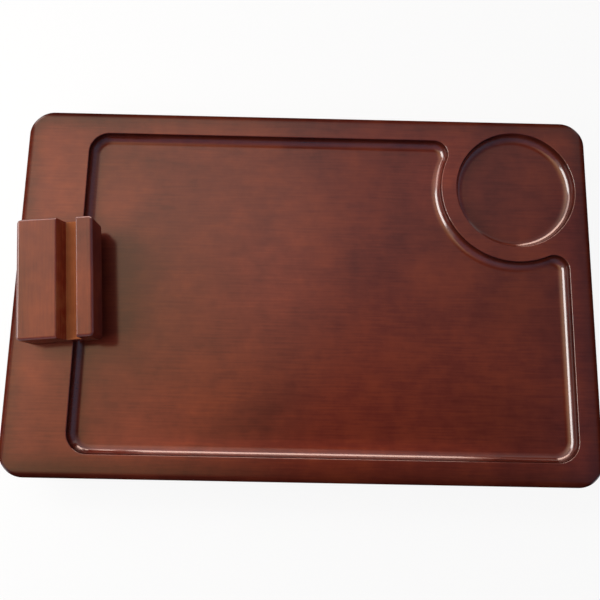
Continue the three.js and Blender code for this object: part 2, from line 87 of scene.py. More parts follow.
# Lighter and darker patches painted into the board's stain. They are mostly painted pools of light and
# painted shade, among them the block's shadow and the glow along the well's front, with some uneven stain
# too. Each is a middle and reach along X and Y in millimetres, and the brightness in the middle
BOARD_LIGHT_AND_SHADE_SPOTS = (
    (97, 82, 42, 42, 1.45),
    (-85, -104, 110, 13, 1.3),
    (40, -103, 190, 9, 1.4),
    (70, 122, 150, 20, 1.35),
    (-25, 5, 65, 70, 1.3),
    (-110, -88, 65, 35, 1.3),
    (142, -2, 45, 45, 0.85),
    (128, -80, 50, 40, 0.85),
    (-126, 90, 40, 35, 0.8),
    (-115, 15, 35, 45, 0.75),
    (-165, -125, 75, 25, 0.6),
    (-150, 125, 75, 22, 0.7),
)
# Painted shade over the left part of the phone block's top
BLOCK_SHADE_SPOTS = ((-195, -15, 34, 65, 0.45),)

# Fineness of the meshes: the step along an outline's arcs, the sides of round pieces and of wire, and the
# steps in a quarter turn of a cove, a rounded edge, a rivet's dome, a small soft edge and the block's edges
ARC_STEP = math.radians(2)
ROUND_SIDES = 48
SMALL_SIDES = 24
WIRE_SIDES = 10
COVE_STEPS = 18
EDGE_STEPS = 6
DOME_STEPS = 5
ARRIS_STEPS = 3
BLOCK_EDGE_STEPS = 5

# A straight has a point this far from each end, and a rounding ends in a strip this wide, so that the smooth
# shading stays on the rounding. Points closer than the last value are one point.
LEAD = 1.5 * MM
FLAT = 0.25 * MM
TOUCHING = 0.001 * MM

# Edges sharper than this stay sharp on metal and rubber, and on round wire
CREASE = math.radians(35)
WIRE_CREASE = math.radians(50)

# Softening of the swivel bore's edges, and radius of a leaf's corners beside its knuckles
BORE_ARRIS = 0.2 * MM
NOTCH_CORNER = 0.4 * MM

# Share of a cross recess's width that is left at its foot
RECESS_TAPER = 0.5


def linear(code):
    """Linear RGBA of an sRGB hex colour."""
    channels = [(code >> shift & 255) / 255 for shift in (16, 8, 0)]
    return [c / 12.92 if c <= 0.04045 else ((c + 0.055) / 1.055) ** 2.4 for c in channels] + [1.0]


def length(name, millimetres, description):
    """Property for a length, with its default written in millimetres."""
    return FloatProperty(
        name=name, description=description, default=millimetres * MM, min=0, precision=5, unit="LENGTH"
    )


def angle(name, degrees, description):
    """Property for an angle, with its default written in degrees."""
    return FloatProperty(name=name, description=description, default=math.radians(degrees), unit="ROTATION")


def colour(name, code, description):
    """Property for a colour, with its default written as sRGB hex."""
    return FloatVectorProperty(
        name=name, description=description, default=linear(code), size=4, min=0, max=1, subtype="COLOR"
    )


class TrayBoardSizes(bpy.types.PropertyGroup):
    """Sizes of the routed board"""

    corner_radius: length("Corner radius", 17, "Radius of the board's corners seen from above")
    edge_radius: length("Edge radius", 3, "Rounding along the board's outer edges")
    rim_width: length("Rim width", 15.5, "Width of the rim at the front, the rear and the right")
    left_rim_width: length("Left rim width", 43, "Width of the rim that carries the phone block")
    well_depth: length("Well depth", 8, "Depth of the well and of the cup recess")
    well_corner_radius: length("Well corner radius", 14, "Radius of the well's corners seen from above")
    cove_radius: length("Cove radius", 6, "Hollow between a recess's wall and its floor")
    arris_radius: length("Arris radius", 0.5, "Softening of a recess's upper edge")
    cup_radius: length("Cup radius", 41.1, "Radius of the cup recess")
    cup_from_edges: length("Cup from edges", 50, "Cup's centre from the rear and the right edge")
    ring_width: length("Ring width", 10.5, "Flat ring between the cup recess and the well")
    notch_radius: length("Notch radius", 10, "Round corner where that ring meets the rim")
    toner_reach: length("Toner reach", 17, "How far the darker toner reaches in from the outer edge")
    bore_radius: length("Bore radius", 2.8, "Bore for the phone block's screw")
    counterbore_radius: length("Counterbore radius", 6.3, "Room for that screw's head and washer")
    counterbore_depth: length("Counterbore depth", 6, "Depth of that room from below")


class PhoneBlockSizes(bpy.types.PropertyGroup):
    """Sizes of the turning phone block"""

    turn: angle("Turn", 5, "How far the block is turned on its screw")
    across: length("Across", 48.9, "Width over the slot")
    along: length("Along", 79, "Length along the slot")
    pivot_from_side: length("Pivot from side", 10.7, "Screw's axis from the block's left side")
    corner_radius: length("Corner radius", 3, "Rounding of the upright corners")
    edge_radius: length("Edge radius", 2, "Rounding of the upper and lower edges")
    slot_depth: length("Slot depth", 11, "Depth of the phone slot")
    slot_floor_width: length("Slot floor width", 9.9, "Width of the slot's floor")
    slot_lip: length("Slot lip", 10.8, "Width of the lip to the right of the slot")
    slot_lean: angle("Slot lean", 15, "Lean of the slot's left wall, on which the phone rests")
    slot_edge_radius: length("Slot edge radius", 0.7, "Softening of the slot's edges")
    slot_foot_radius: length("Slot foot radius", 0.5, "Fillet along the slot's floor")
    hole_radius: length("Hole radius", 3.8, "Hole for the threaded insert")
    hole_depth: length("Hole depth", 10.3, "Depth of that hole")


class SwivelSizes(bpy.types.PropertyGroup):
    """Sizes of the screw and washers that the phone block turns on"""

    shank_radius: length("Shank radius", 2.5, "Radius of the machine screw")
    head_radius: length("Head radius", 4.75, "Radius of its pan head")
    head_height: length("Head height", 3.2, "Height of its pan head")
    crown_radius: length("Crown radius", 2.6, "Flat middle of the head, around the recess")
    crown_rise: length("Crown rise", 1.92, "Height of the head's round shoulder")
    recess_reach: length("Recess reach", 2.1, "Cross recess from its middle to an arm's end")
    recess_half: length("Recess half width", 0.45, "Half of the width of an arm of the recess")
    recess_depth: length("Recess depth", 1.8, "Depth of the cross recess")
    washer_radius: length("Washer radius", 6, "Radius of the steel washer")
    washer_bore: length("Washer bore", 2.7, "Bore of the steel washer")
    friction_radius: length("Friction washer radius", 9, "Radius of the nylon washer")
    friction_bore: length("Friction washer bore", 2.8, "Bore of the nylon washer")
    washer_edge: length("Washer edge", 0.15, "Rounding of the washers' edges")
    washer_play: length("Washer play", 0.02, "Play under a washer, for what turns there")


class ClampPanelSizes(bpy.types.PropertyGroup):
    """Sizes of the two clamp panels"""

    corner_radius: length("Corner radius", 12, "Radius of a panel's corners seen from above")
    edge_radius: length("Edge radius", 2, "Rounding along a panel's edges")


class GripSizes(bpy.types.PropertyGroup):
    """Sizes of the ribbed rubber grips"""

    rib_width: length("Rib width", 4.4, "Width of one rib")
    groove_width: length("Groove width", 1.6, "Gap between two ribs")
    base: length("Base", 2.4, "Thickness under the ribs")
    rib_edge: length("Rib edge", 0.5, "Rounding along a rib")


class HingeSizes(bpy.types.PropertyGroup):
    """Sizes of the sprung butt hinges"""

    leaf_length: length("Leaf length", 26, "Leaf from the pin to its end")
    leaf_thickness: length("Leaf thickness", 1, "Thickness of a leaf")
    leaf_notch: length("Leaf notch", 4.3, "Start of the leaf's full width, from the pin")
    leaf_corner: length("Leaf corner", 2, "Radius of a leaf's outer corners")
    leaf_edge: length("Leaf edge", 0.15, "Softening of a leaf's edges")
    half_gap: length("Half gap", 4, "From the pin to the wood on each side")
    half_width: length("Half width", 23.4, "Half of a hinge's length along the pin")
    knuckle_radius: length("Knuckle radius", 3.7, "Radius of the rolled knuckles")
    knuckle_bore: length("Knuckle bore", 1.45, "Bore of the knuckles")
    knuckle_length: length("Knuckle length", 7, "Length of one knuckle")
    knuckle_edge: length("Knuckle edge", 0.3, "Softening of a knuckle's ends")
    panel_knuckle: length("Panel knuckle", 9.1, "Start of a panel leaf's knuckle from the middle")
    board_knuckle: length("Board knuckle", 16.4, "Start of a board leaf's knuckle from the middle")
    pin_radius: length("Pin radius", 1.25, "Radius of the hinge pin")
    pin_head_radius: length("Pin head radius", 2.2, "Radius of its riveted heads")
    pin_head_length: length("Pin head length", 0.8, "Height of its riveted heads")
    pin_room: length("Pin room", 0.2, "Play between a knuckle and the pin's head")


class SpringSizes(bpy.types.PropertyGroup):
    """Sizes of the torsion springs"""

    wire_radius: length("Wire radius", 0.55, "Radius of the wire")
    end_chamfer: length("End chamfer", 0.165, "Chamfer at the wire's cut ends")
    coil_radius: length("Coil radius", 2.15, "Radius of the coil at the middle of the wire")
    half_length: length("Half length", 8.25, "Half of the coil's length along the pin")
    leg: length("Leg", 13, "Straight leg from the pin")
    turns: FloatProperty(name="Turns", description="Curls of the coil", default=7.5, min=0.5)
    curl_steps: IntProperty(name="Curl steps", description="Points on one curl", default=24, min=8)
    leg_steps: IntProperty(name="Leg steps", description="Points on one leg", default=6, min=2)


class ScrewSizes(bpy.types.PropertyGroup):
    """Sizes of the countersunk wood screws"""

    head_radius: length("Head radius", 2.5, "Radius of the countersunk head")
    head_chamfer: length("Head chamfer", 0.1, "Softening of the head's edge")
    neck: length("Neck", 0.5, "From the back of the leaf to the thread's first valley")
    shank_radius: length("Shank radius", 1.5, "Radius over the thread")
    core_radius: length("Core radius", 1.1, "Radius in the thread's valleys")
    thread_pitch: length("Thread pitch", 1.1, "From one thread to the next")
    overall: length("Overall length", 8, "Length from the head's face to the point")
    point: length("Point", 2, "Length of the point")
    recess_reach: length("Recess reach", 1.4, "Cross recess from its middle to an arm's end")
    recess_half: length("Recess half width", 0.3, "Half of the width of an arm of the recess")
    recess_depth: length("Recess depth", 1.1, "Depth of the cross recess")
    hole_radius: length("Hole radius", 1.7, "Hole in the hinge leaf")
    hole_mouth: length("Hole mouth", 2.7, "Countersink in the hinge leaf")
    from_leaf_end: length("From leaf end", 7, "Screw's axis from the end of the leaf")
    from_leaf_side: length("From leaf side", 7.5, "Screw's axis from the side of the leaf")


class Finishes(bpy.types.PropertyGroup):
    """Colours of the tray"""

    stain: colour("Stain", 0x6A2B20, "Red-brown stain of the wood")
    stain_dark: colour("Dark stain", 0x57211B, "Stain where the grain takes more of it")
    stain_light: colour("Light stain", 0x7C3523, "Stain where the grain takes less of it")
    # Slot floor: a thinner, more orange stain, made lighter still as painted light deep in the slot
    slot_painted_light_stain: colour("Slot stain", 0xA8613A, "Thin stain on the slot's floor")
    slot_painted_light_stain_dark: colour("Dark slot stain", 0x975432, "Thin stain where the grain takes more of it")
    slot_painted_light_stain_light: colour("Light slot stain", 0xB96E44, "Thin stain where the grain takes less of it")
    # The slot's leaning wall has the board's stain; this lighter colour is painted light
    slot_wall_painted_light: colour("Slot wall stain", 0x903A26, "Stain on the slot's leaning wall")
    powder_coat: colour("Powder coat", 0x232325, "Black coat of the hinge leaves")
    spring_wire: colour("Spring wire", 0x8D8F93, "Bright drawn wire")
    zinc: colour("Zinc", 0xB9BCC0, "Zinc plate of screws, pins and washer")
    brass: colour("Brass", 0xB08A45, "Turned brass of the insert")
    rubber: colour("Rubber", 0x1D1D1F, "Black rubber of the grips")
    rubber_bloom: colour("Rubber bloom", 0x2C2C2D, "Grey bloom on the rubber")
    nylon: colour("Nylon", 0xE6E3DA, "Natural nylon of the friction washer")
    floor: colour("Floor", 0xF4F3F1, "Pale floor")


class TraySettings(bpy.types.PropertyGroup):
    """Sizes and colours of the whole tray"""

    board: PointerProperty(type=TrayBoardSizes)
    block: PointerProperty(type=PhoneBlockSizes)
    swivel: PointerProperty(type=SwivelSizes)
    panel: PointerProperty(type=ClampPanelSizes)
    grip: PointerProperty(type=GripSizes)
    hinge: PointerProperty(type=HingeSizes)
    spring: PointerProperty(type=SpringSizes)
    screw: PointerProperty(type=ScrewSizes)
    finish: PointerProperty(type=Finishes)


def feed(tree, node, inputs):
    """Give a node its inputs. A socket, or a node's first output, is linked, and any other value is set."""
    for key, value in inputs.items():
        source = value.outputs[0] if isinstance(value, bpy.types.Node) else value
        if isinstance(source, bpy.types.NodeSocket):
            tree.links.new(source, node.inputs[key])
        else:
            node.inputs[key].default_value = source


def add_node(tree, kind, inputs=None, **settings):
    """Add a node with its settings and its inputs."""
    node = tree.nodes.new(kind)
    for key, value in settings.items():
        setattr(node, key, value)
    feed(tree, node, inputs or {})
    return node


def blank_material(name):
    """A new material with its node tree and its shader."""
    material = bpy.data.materials.new(name)
    material.use_nodes = True
    return material, material.node_tree, material.node_tree.nodes["Principled BSDF"]


def painted_light_and_shade(tree, place, stain, spots):
    """Stain with painted light and shade in the given places, fading out at the end of each one's reach."""
    for x, y, across, along, share in spots:
        spot = add_node(tree, "ShaderNodeMapping", {
            "Vector": place, "Location": (x * MM, y * MM, 0), "Scale": (across * MM, along * MM, 1),
        }, vector_type="TEXTURE")
        away = add_node(tree, "ShaderNodeVectorMath", {0: spot}, operation="LENGTH").outputs["Value"]
        fading = add_node(tree, "ShaderNodeMapRange", {
            "Value": away, "To Min": share, "To Max": 1.0,
        }, interpolation_type="SMOOTHSTEP")
        stain = add_node(tree, "ShaderNodeVectorMath", {0: stain, "Scale": fading}, operation="SCALE")
    return stain


def toned_and_shaded(tree, place, upward, stain, toner_reach):
    """The board's stain with darker toner at the outer edge, and painted shade on the recesses' steep walls
    and coves.

    The share of the lacquer that is left comes with it.
    """
    toner_share = 0.52
    wall_shade_share = 0.35
    half = (BOARD_HIGH - BOARD_LOW) / 2
    sides = add_node(tree, "ShaderNodeVectorMath", {0: place}, operation="ABSOLUTE")
    inside = add_node(tree, "ShaderNodeVectorMath", {0: half, 1: sides}, operation="SUBTRACT")
    way = add_node(tree, "ShaderNodeSeparateXYZ", {0: inside}).outputs
    shares = []
    for axis in ("X", "Y"):
        shares.append(add_node(tree, "ShaderNodeMapRange", {
            "Value": way[axis], "From Max": toner_reach, "To Min": toner_share, "To Max": 1.0,
        }, interpolation_type="SMOOTHSTEP"))
    nearest = add_node(tree, "ShaderNodeMath", {0: way["X"], 1: way["Y"]}, operation="MINIMUM")
    # Painted shade darkens the steep walls and coves of the recesses. It starts behind the rim, where the
    # recesses start, so the rounding of the outer edge is not darkened
    steepest_shade = add_node(tree, "ShaderNodeMapRange", {
        "Value": nearest, "From Min": 8 * MM, "From Max": 12 * MM, "To Min": 1.0, "To Max": wall_shade_share,
    })
    shares.append(add_node(tree, "ShaderNodeMapRange", {
        "Value": upward, "From Min": 0.1, "From Max": 0.92, "To Min": steepest_shade, "To Max": 1.0,
    }, interpolation_type="SMOOTHSTEP"))
    for share in shares:
        stain = add_node(tree, "ShaderNodeVectorMath", {0: stain, "Scale": share}, operation="SCALE")
    # Handling wears the lacquer off the outer edge
    worn = add_node(tree, "ShaderNodeMapRange", {
        "Value": nearest, "From Min": 2.5 * MM, "From Max": 5 * MM,
    }, interpolation_type="SMOOTHSTEP")
    return stain, worn


def stained_wood(name, tones, grain_angle, spots=(), toner_reach=None, lacquer=1.0):
    """Close-grained wood under red-brown stain and clear lacquer, with its grain along grain_angle from X.

    The eye sees fine short lines along the grain, soft clouds where the stain took unevenly, lighter and
    darker patches that are mostly painted light and shade with some uneven stain, and clear reflections in
    the lacquer. Where toner_reach is given, the board's outer edge is darker by that reach, as sprayed toner
    leaves it, and painted shade darkens the steep walls and coves of the recesses.
    """
    grain_width = 1.25 * MM
    grain_length = 22.22 * MM
    mottle_size = 8 * MM
    cloud_size = 45.45 * MM
    material, tree, shader = blank_material(name)
    place = add_node(tree, "ShaderNodeTexCoord").outputs["Object"]
    grain = add_node(tree, "ShaderNodeMapping", {"Vector": place, "Rotation": (0, 0, -grain_angle)})
    drawn_out = add_node(tree, "ShaderNodeMapping", {
        "Vector": grain, "Scale": (1 / grain_length, 1 / grain_width, 1 / grain_width),
    })
    lines = add_node(tree, "ShaderNodeTexNoise", {"Vector": drawn_out, "Scale": 1, "Detail": 2})
    mottle = add_node(tree, "ShaderNodeTexNoise", {"Vector": grain, "Scale": 1 / mottle_size, "Detail": 3})
    clouds = add_node(tree, "ShaderNodeTexNoise", {"Vector": grain, "Scale": 1 / cloud_size, "Detail": 2})
    # Lines and mottle make up a quarter of the tone each, and clouds make up half
    fine = add_node(tree, "ShaderNodeMath", {0: lines, 1: mottle}, operation="ADD")
    broad = add_node(tree, "ShaderNodeMath", {0: clouds, 1: 0.5}, operation="MULTIPLY")
    tone = add_node(tree, "ShaderNodeMath", {0: fine, 1: 0.25, 2: broad}, operation="MULTIPLY_ADD")
    ramp = add_node(tree, "ShaderNodeValToRGB", {"Fac": tone})
    stops = ramp.color_ramp.elements
    stops.new(0.5)
    for stop, position, tint in zip(stops, (0.35, 0.5, 0.65), tones):
        stop.position = position
        stop.color = tint
    stain = painted_light_and_shade(tree, place, ramp, spots)
    normal = add_node(tree, "ShaderNodeNewGeometry").outputs["Normal"]
    upward = add_node(tree, "ShaderNodeSeparateXYZ", {0: normal}).outputs["Z"]
    if toner_reach:
        stain, lacquer = toned_and_shaded(tree, place, upward, stain, toner_reach)
    # Lacquer gathers in the coves and on rounded edges, and is thin on level faces and on steep walls
    gathered = add_node(tree, "ShaderNodeMapRange", {
        "Value": upward, "From Min": 0.85, "From Max": 0.96, "To Min": 1.0, "To Max": 0.48,
    })
    held = add_node(tree, "ShaderNodeMapRange", {
        "Value": upward, "From Min": 0.1, "From Max": 0.75, "To Min": 0.3, "To Max": 1.0,
    })
    film = add_node(tree, "ShaderNodeMath", {0: gathered, 1: held}, operation="MULTIPLY")
    film = add_node(tree, "ShaderNodeMath", {0: film, 1: lacquer}, operation="MULTIPLY")
    gloss = add_node(tree, "ShaderNodeMapRange", {
        "Value": clouds, "From Min": 0.3, "From Max": 0.7, "To Min": 0.45, "To Max": 0.55,
    })
    # The lacquer follows the grain by a few thousandths of a millimetre
    bump = add_node(tree, "ShaderNodeBump", {"Height": lines, "Strength": 0.3, "Distance": 0.01 * MM})
    # The stained wood has no gloss of its own, because the lacquer lies right on it
    feed(tree, shader, {
        "Base Color": stain, "Roughness": gloss, "Normal": bump, "Specular IOR Level": 0.0,
        "Coat Weight": film, "Coat Roughness": 0.14, "Coat IOR": 2.0,
    })
    return material


def red_brown(colours):
    """Dark, middle and light tone of the stain that most of the wood has."""
    return colours.stain_dark, colours.stain, colours.stain_light


def powder_coated_steel(colours):
    """Sheet steel under black powder coat: satin, with the coat's fine orange peel."""
    crest_spacing = 0.625 * MM
    material, tree, shader = blank_material("powder_coated_steel")
    place = add_node(tree, "ShaderNodeTexCoord").outputs["Object"]
    peel = add_node(tree, "ShaderNodeTexNoise", {"Vector": place, "Scale": 1 / crest_spacing, "Detail": 1})
    bump = add_node(tree, "ShaderNodeBump", {"Height": peel, "Strength": 0.5, "Distance": 0.02 * MM})
    gloss = add_node(tree, "ShaderNodeMapRange", {"Value": peel, "To Min": 0.38, "To Max": 0.55})
    feed(tree, shader, {"Base Color": colours.powder_coat, "Roughness": gloss, "Normal": bump})
    return material


def plated_metal(name, tone, patch, smoothest, roughest):
    """Bare or plated metal whose gloss changes in patches of the given size, as handling leaves it."""
    material, tree, shader = blank_material(name)
    place = add_node(tree, "ShaderNodeTexCoord").outputs["Object"]
    patches = add_node(tree, "ShaderNodeTexNoise", {"Vector": place, "Scale": 1 / patch, "Detail": 3})
    gloss = add_node(tree, "ShaderNodeMapRange", {
        "Value": patches, "From Min": 0.3, "From Max": 0.7, "To Min": smoothest, "To Max": roughest,
    })
    feed(tree, shader, {"Base Color": tone, "Metallic": 1, "Roughness": gloss})
    return material


def zinc_plate(colours):
    """Zinc-plated steel, which the screws, the pins and the steel washer share."""
    made = bpy.data.materials.get("zinc_plate")
    return made or plated_metal("zinc_plate", colours.zinc, patch=1.5 * MM, smoothest=0.25, roughest=0.42)


def moulded_rubber(colours):
    """Moulded black rubber: dull, a little grainy, with the grey bloom that rubber gets."""
    bloom_size = 12.5 * MM
    grain_size = 0.5 * MM
    material, tree, shader = blank_material("moulded_rubber")
    place = add_node(tree, "ShaderNodeTexCoord").outputs["Object"]
    bloom = add_node(tree, "ShaderNodeTexNoise", {"Vector": place, "Scale": 1 / bloom_size, "Detail": 4})
    grain = add_node(tree, "ShaderNodeTexNoise", {"Vector": place, "Scale": 1 / grain_size, "Detail": 1})
    ramp = add_node(tree, "ShaderNodeValToRGB", {"Fac": bloom})
    tints = (colours.rubber, colours.rubber_bloom)
    for stop, position, tint in zip(ramp.color_ramp.elements, (0.4, 0.7), tints):
        stop.position = position
        stop.color = tint
    bump = add_node(tree, "ShaderNodeBump", {"Height": grain, "Strength": 0.4, "Distance": 0.03 * MM})
    feed(tree, shader, {"Base Color": ramp, "Roughness": 0.72, "Normal": bump})
    return material


def punched_nylon(colours):
    """Punched natural nylon: milky, with a faint mottle."""
    mottle_size = 2 * MM
    material, tree, shader = blank_material("punched_nylon")
    place = add_node(tree, "ShaderNodeTexCoord").outputs["Object"]
    mottle = add_node(tree, "ShaderNodeTexNoise", {"Vector": place, "Scale": 1 / mottle_size, "Detail": 2})
    gloss = add_node(tree, "ShaderNodeMapRange", {"Value": mottle, "To Min": 0.4, "To Max": 0.6})
    feed(tree, shader, {"Base Color": colours.nylon, "Roughness": gloss})
    return material


def quarter(steps):
    """Angles over a quarter turn."""
    return [QUARTER_TURN * i / steps for i in range(steps + 1)]


def around(sides):
    """Angles over a full turn."""
    return [2 * math.pi * i / sides for i in range(sides)]


def rounded(corners):
    """Arcs that round the corners of an anticlockwise polygon, given as x, y and radius.

    An arc is centre x, centre y, radius, start angle and end angle. It runs clockwise at a hollow corner.
    """
    arcs = []
    for before, corner, after in zip(corners[-1:] + corners[:-1], corners, corners[1:] + corners[:1]):
        point = Vector(corner[:2])
        inward = (point - Vector(before[:2])).normalized()
        onward = (Vector(after[:2]) - point).normalized()
        turn = math.atan2(inward.cross(onward), inward.dot(onward))
        radius = corner[2]
        start = point - inward * radius * math.tan(abs(turn) / 2)
        side = math.copysign(1, turn)
        centre = start + Vector((-inward.y, inward.x)) * radius * side
        from_angle = math.atan2(start.y - centre.y, start.x - centre.x)
        arcs.append((centre.x, centre.y, radius, from_angle, from_angle + turn))
    return arcs


def rectangle(low, high, radius):
    """Arcs of a rectangle with round corners."""
    return rounded([
        (high.x, low.y, radius), (high.x, high.y, radius), (low.x, high.y, radius), (low.x, low.y, radius),
    ])


def circle(x, y, radius):
    """A full circle as one arc."""
    return [(x, y, radius, 0, 2 * math.pi)]


def outline_points(arcs, inset, level):
    """Points of an outline moved inwards by inset, at one level, with two lead-in points on each straight."""
    runs = []
    for x, y, radius, start, end in arcs:
        moved = radius - inset if end > start else radius + inset
        steps = max(2, math.ceil(abs(end - start) / ARC_STEP))
        angles = [start + (end - start) * i / steps for i in range(steps + 1)]
        runs.append([Vector((x + moved * math.cos(a), y + moved * math.sin(a), level)) for a in angles])
    points = []
    for run, following in zip(runs, runs[1:] + runs[:1]):
        points += run
        gap = following[0] - run[-1]
        if gap.length > 3 * LEAD:
            lead = gap.normalized() * LEAD
            points += [run[-1] + lead, following[0] - lead]
        elif gap.length < TOUCHING:
            points.pop()
    return points


def skin(bm, loops):
    """Faces between loops of vertices. A loop of one vertex is a pole."""
    for lower, upper in zip(loops, loops[1:]):
        count = max(len(lower), len(upper))
        for i in range(count):
            j = (i + 1) % count
            places = ((lower, i), (lower, j), (upper, j), (upper, i))
            corners = [loop[k % len(loop)] for loop, k in places]
            bm.faces.new(list(dict.fromkeys(corners)))


def moulding(bm, arcs, profile):
    """Skin an outline along a profile of insets and levels, and return the first and the last loop."""
    loops = []
    for inset, level in profile:
        loops.append([bm.verts.new(point) for point in outline_points(arcs, inset, level)])
    skin(bm, loops)
    return loops[0], loops[-1]


def cap(bm, *loops):
    """Fill a level face between an outer loop and the holes in it."""
    edges = [bm.edges.get((loop[i - 1], loop[i])) for loop in loops for i in range(len(loop))]
    bmesh.ops.triangle_fill(bm, use_beauty=True, edges=edges, normal=UP)


def plate_profile(bottom, top, edge, steps=EDGE_STEPS):
    """Edge of a plate from its lower face to its upper one, both rounded inside it."""
    profile = [(edge + FLAT, bottom)]
    profile += [(edge - edge * math.sin(a), bottom + edge - edge * math.cos(a)) for a in quarter(steps)]
    profile += [(0, bottom + edge + FLAT), (0, top - edge - FLAT)]
    profile += [(edge - edge * math.cos(a), top - edge + edge * math.sin(a)) for a in quarter(steps)]
    return profile + [(edge + FLAT, top)]


def arris_profile(top, arris, steps):
    """Softened edge that leads from a face down into a hole."""
    profile = [(-arris - FLAT, top)]
    return profile + [
        (arris * math.sin(a) - arris, top - arris + arris * math.cos(a)) for a in quarter(steps)
    ]


def recess_profile(top, floor, sizes):
    """Wall of a routed recess from the face around it to its floor, with a soft arris and a cove."""
    arris = sizes.arris_radius
    cove = sizes.cove_radius
    profile = arris_profile(top, arris, EDGE_STEPS)
    profile += [(0, top - arris - FLAT), (0, floor + cove + FLAT)]
    profile += [(cove - cove * math.cos(a), floor + cove - cove * math.sin(a)) for a in quarter(COVE_STEPS)]
    return profile + [(cove + FLAT, floor)]


def bore_profile(top, bottom, arris):
    """Wall of a plain bore between two faces, both edges softened."""
    profile = arris_profile(top, arris, ARRIS_STEPS)
    return profile + [(inset, top + bottom - level) for inset, level in reversed(profile)]


def rings(bm, profile, sides):
    """Loops of vertices about Z from pairs of radius and level. A radius of 0 makes a pole."""
    loops = []
    for radius, level in profile:
        angles = around(sides) if radius else [0]
        loops.append([bm.verts.new((radius * math.cos(a), radius * math.sin(a), level)) for a in angles])
    return loops


def turned(profile, sides):
    """A shape turned about Z from pairs of radius and level. It is a ring if it ends where it starts."""
    bm = bmesh.new()
    closed = profile[0] == profile[-1]
    loops = rings(bm, profile[:-1] if closed else profile, sides)
    skin(bm, loops + loops[:1] if closed else loops)
    return bm


def washer(outer, inner, bottom, top, edge):
    """A flat ring about Z with softened edges."""
    section = plate_profile(bottom, top, edge, ARRIS_STEPS)
    profile = [(outer - inset, level) for inset, level in section]
    profile += [(inner + inset, level) for inset, level in reversed(section)]
    return turned(profile + profile[:1], ROUND_SIDES)


def merged(pieces):
    """One mesh in the making that holds each given one, moved by its matrix."""
    whole = bmesh.new()
    for bm, matrix in pieces:
        copy = bpy.data.meshes.new("copy")
        bm.to_mesh(copy)
        copy.transform(matrix)
        whole.from_mesh(copy)
        bpy.data.meshes.remove(copy)
    return whole


def new_object(name, bm, material, crease=None):
    """An object at the origin from a mesh in the making, shaded smooth but for edges sharper than crease."""
    bmesh.ops.recalc_face_normals(bm, faces=bm.faces)
    mesh = bpy.data.meshes.new(name)
    bm.to_mesh(mesh)
    bm.free()
    mesh.materials.append(material)
    mesh.shade_smooth()
    if crease is not None:
        mesh.set_sharp_from_angle(angle=crease)
    obj = bpy.data.objects.new(name, mesh)
    bpy.context.scene.collection.objects.link(obj)
    return obj


def bake(obj):
    """Make the object's modifiers part of its mesh."""
    depsgraph = bpy.context.evaluated_depsgraph_get()
    mesh = bpy.data.meshes.new_from_object(obj.evaluated_get(depsgraph), depsgraph=depsgraph)
    mesh.name = obj.name
    obj.modifiers.clear()
    obj.data = mesh
    return obj


def grow(obj, tree, values):
    """Run a Geometry Nodes tree on an object with the named values, and keep the result as its mesh."""
    modifier = obj.modifiers.new(tree.name, "NODES")
    modifier.node_group = tree
    for socket in tree.interface.items_tree:
        if socket.name in values:
            modifier[socket.identifier] = values[socket.name]
    return bake(obj)


def new_tree(name, sockets):
    """A Geometry Nodes tree with the given named inputs, and its input and output nodes."""
    tree = bpy.data.node_groups.new(name, "GeometryNodeTree")
    tree.interface.new_socket("Geometry", in_out="INPUT", socket_type="NodeSocketGeometry")
    for socket, kind in sockets.items():
        tree.interface.new_socket(socket, in_out="INPUT", socket_type=kind)
    tree.interface.new_socket("Geometry", in_out="OUTPUT", socket_type="NodeSocketGeometry")
    return tree, add_node(tree, "NodeGroupInput").outputs, add_node(tree, "NodeGroupOutput")


def fit(obj, body, slot, *nodes):
    """Let a finished piece ride on a body in place of the CAD nodes that it stands for."""
    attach(obj, body)
    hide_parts(*nodes)


def hinge_place(hinge):
    """Matrix from a hinge's own frame, with its pin along Y at the origin, to the tray's frame."""
    turn = math.pi if hinge.startswith("right") else 0
    return Matrix.Translation(middle(f"{hinge}_hinge_pin")) @ Matrix.Rotation(turn, 4, "Z")


def screw_spots(sizes, hinge):
    """Places of a leaf's two screws in the hinge's own frame, at the pin's level."""
    x = hinge.leaf_length - sizes.from_leaf_end
    y = hinge.half_width - sizes.from_leaf_side
    return [Vector((x, -y, 0)), Vector((x, y, 0))]


def cross_points(reach, half, level):
    """Points of a cross recess, anticlockwise."""
    corner = [(half, -reach), (half, -half), (reach, -half)]
    points = []
    for turn in range(4):
        points += [Matrix.Rotation(turn * QUARTER_TURN, 2) @ Vector(point) for point in corner]
    ordered = sorted(points, key=lambda p: math.atan2(p.y, p.x))
    return [Vector((p.x, p.y, level)) for p in ordered]


def cross_head_screw(profile, sides, sizes):
    """A screw pointing up from its face, turned from pairs of radius and level, with a cross recess."""
    bm = bmesh.new()
    loops = rings(bm, profile, sides)
    skin(bm, loops)
    face = profile[0][1]
    recess = []
    for share, drop in ((1, 0), (RECESS_TAPER, sizes.recess_depth)):
        points = cross_points(sizes.recess_reach * share, sizes.recess_half * share, face + drop)
        recess.append([bm.verts.new(point) for point in points])
    skin(bm, recess)
    cap(bm, loops[0], recess[0])
    cap(bm, recess[1])
    return bm


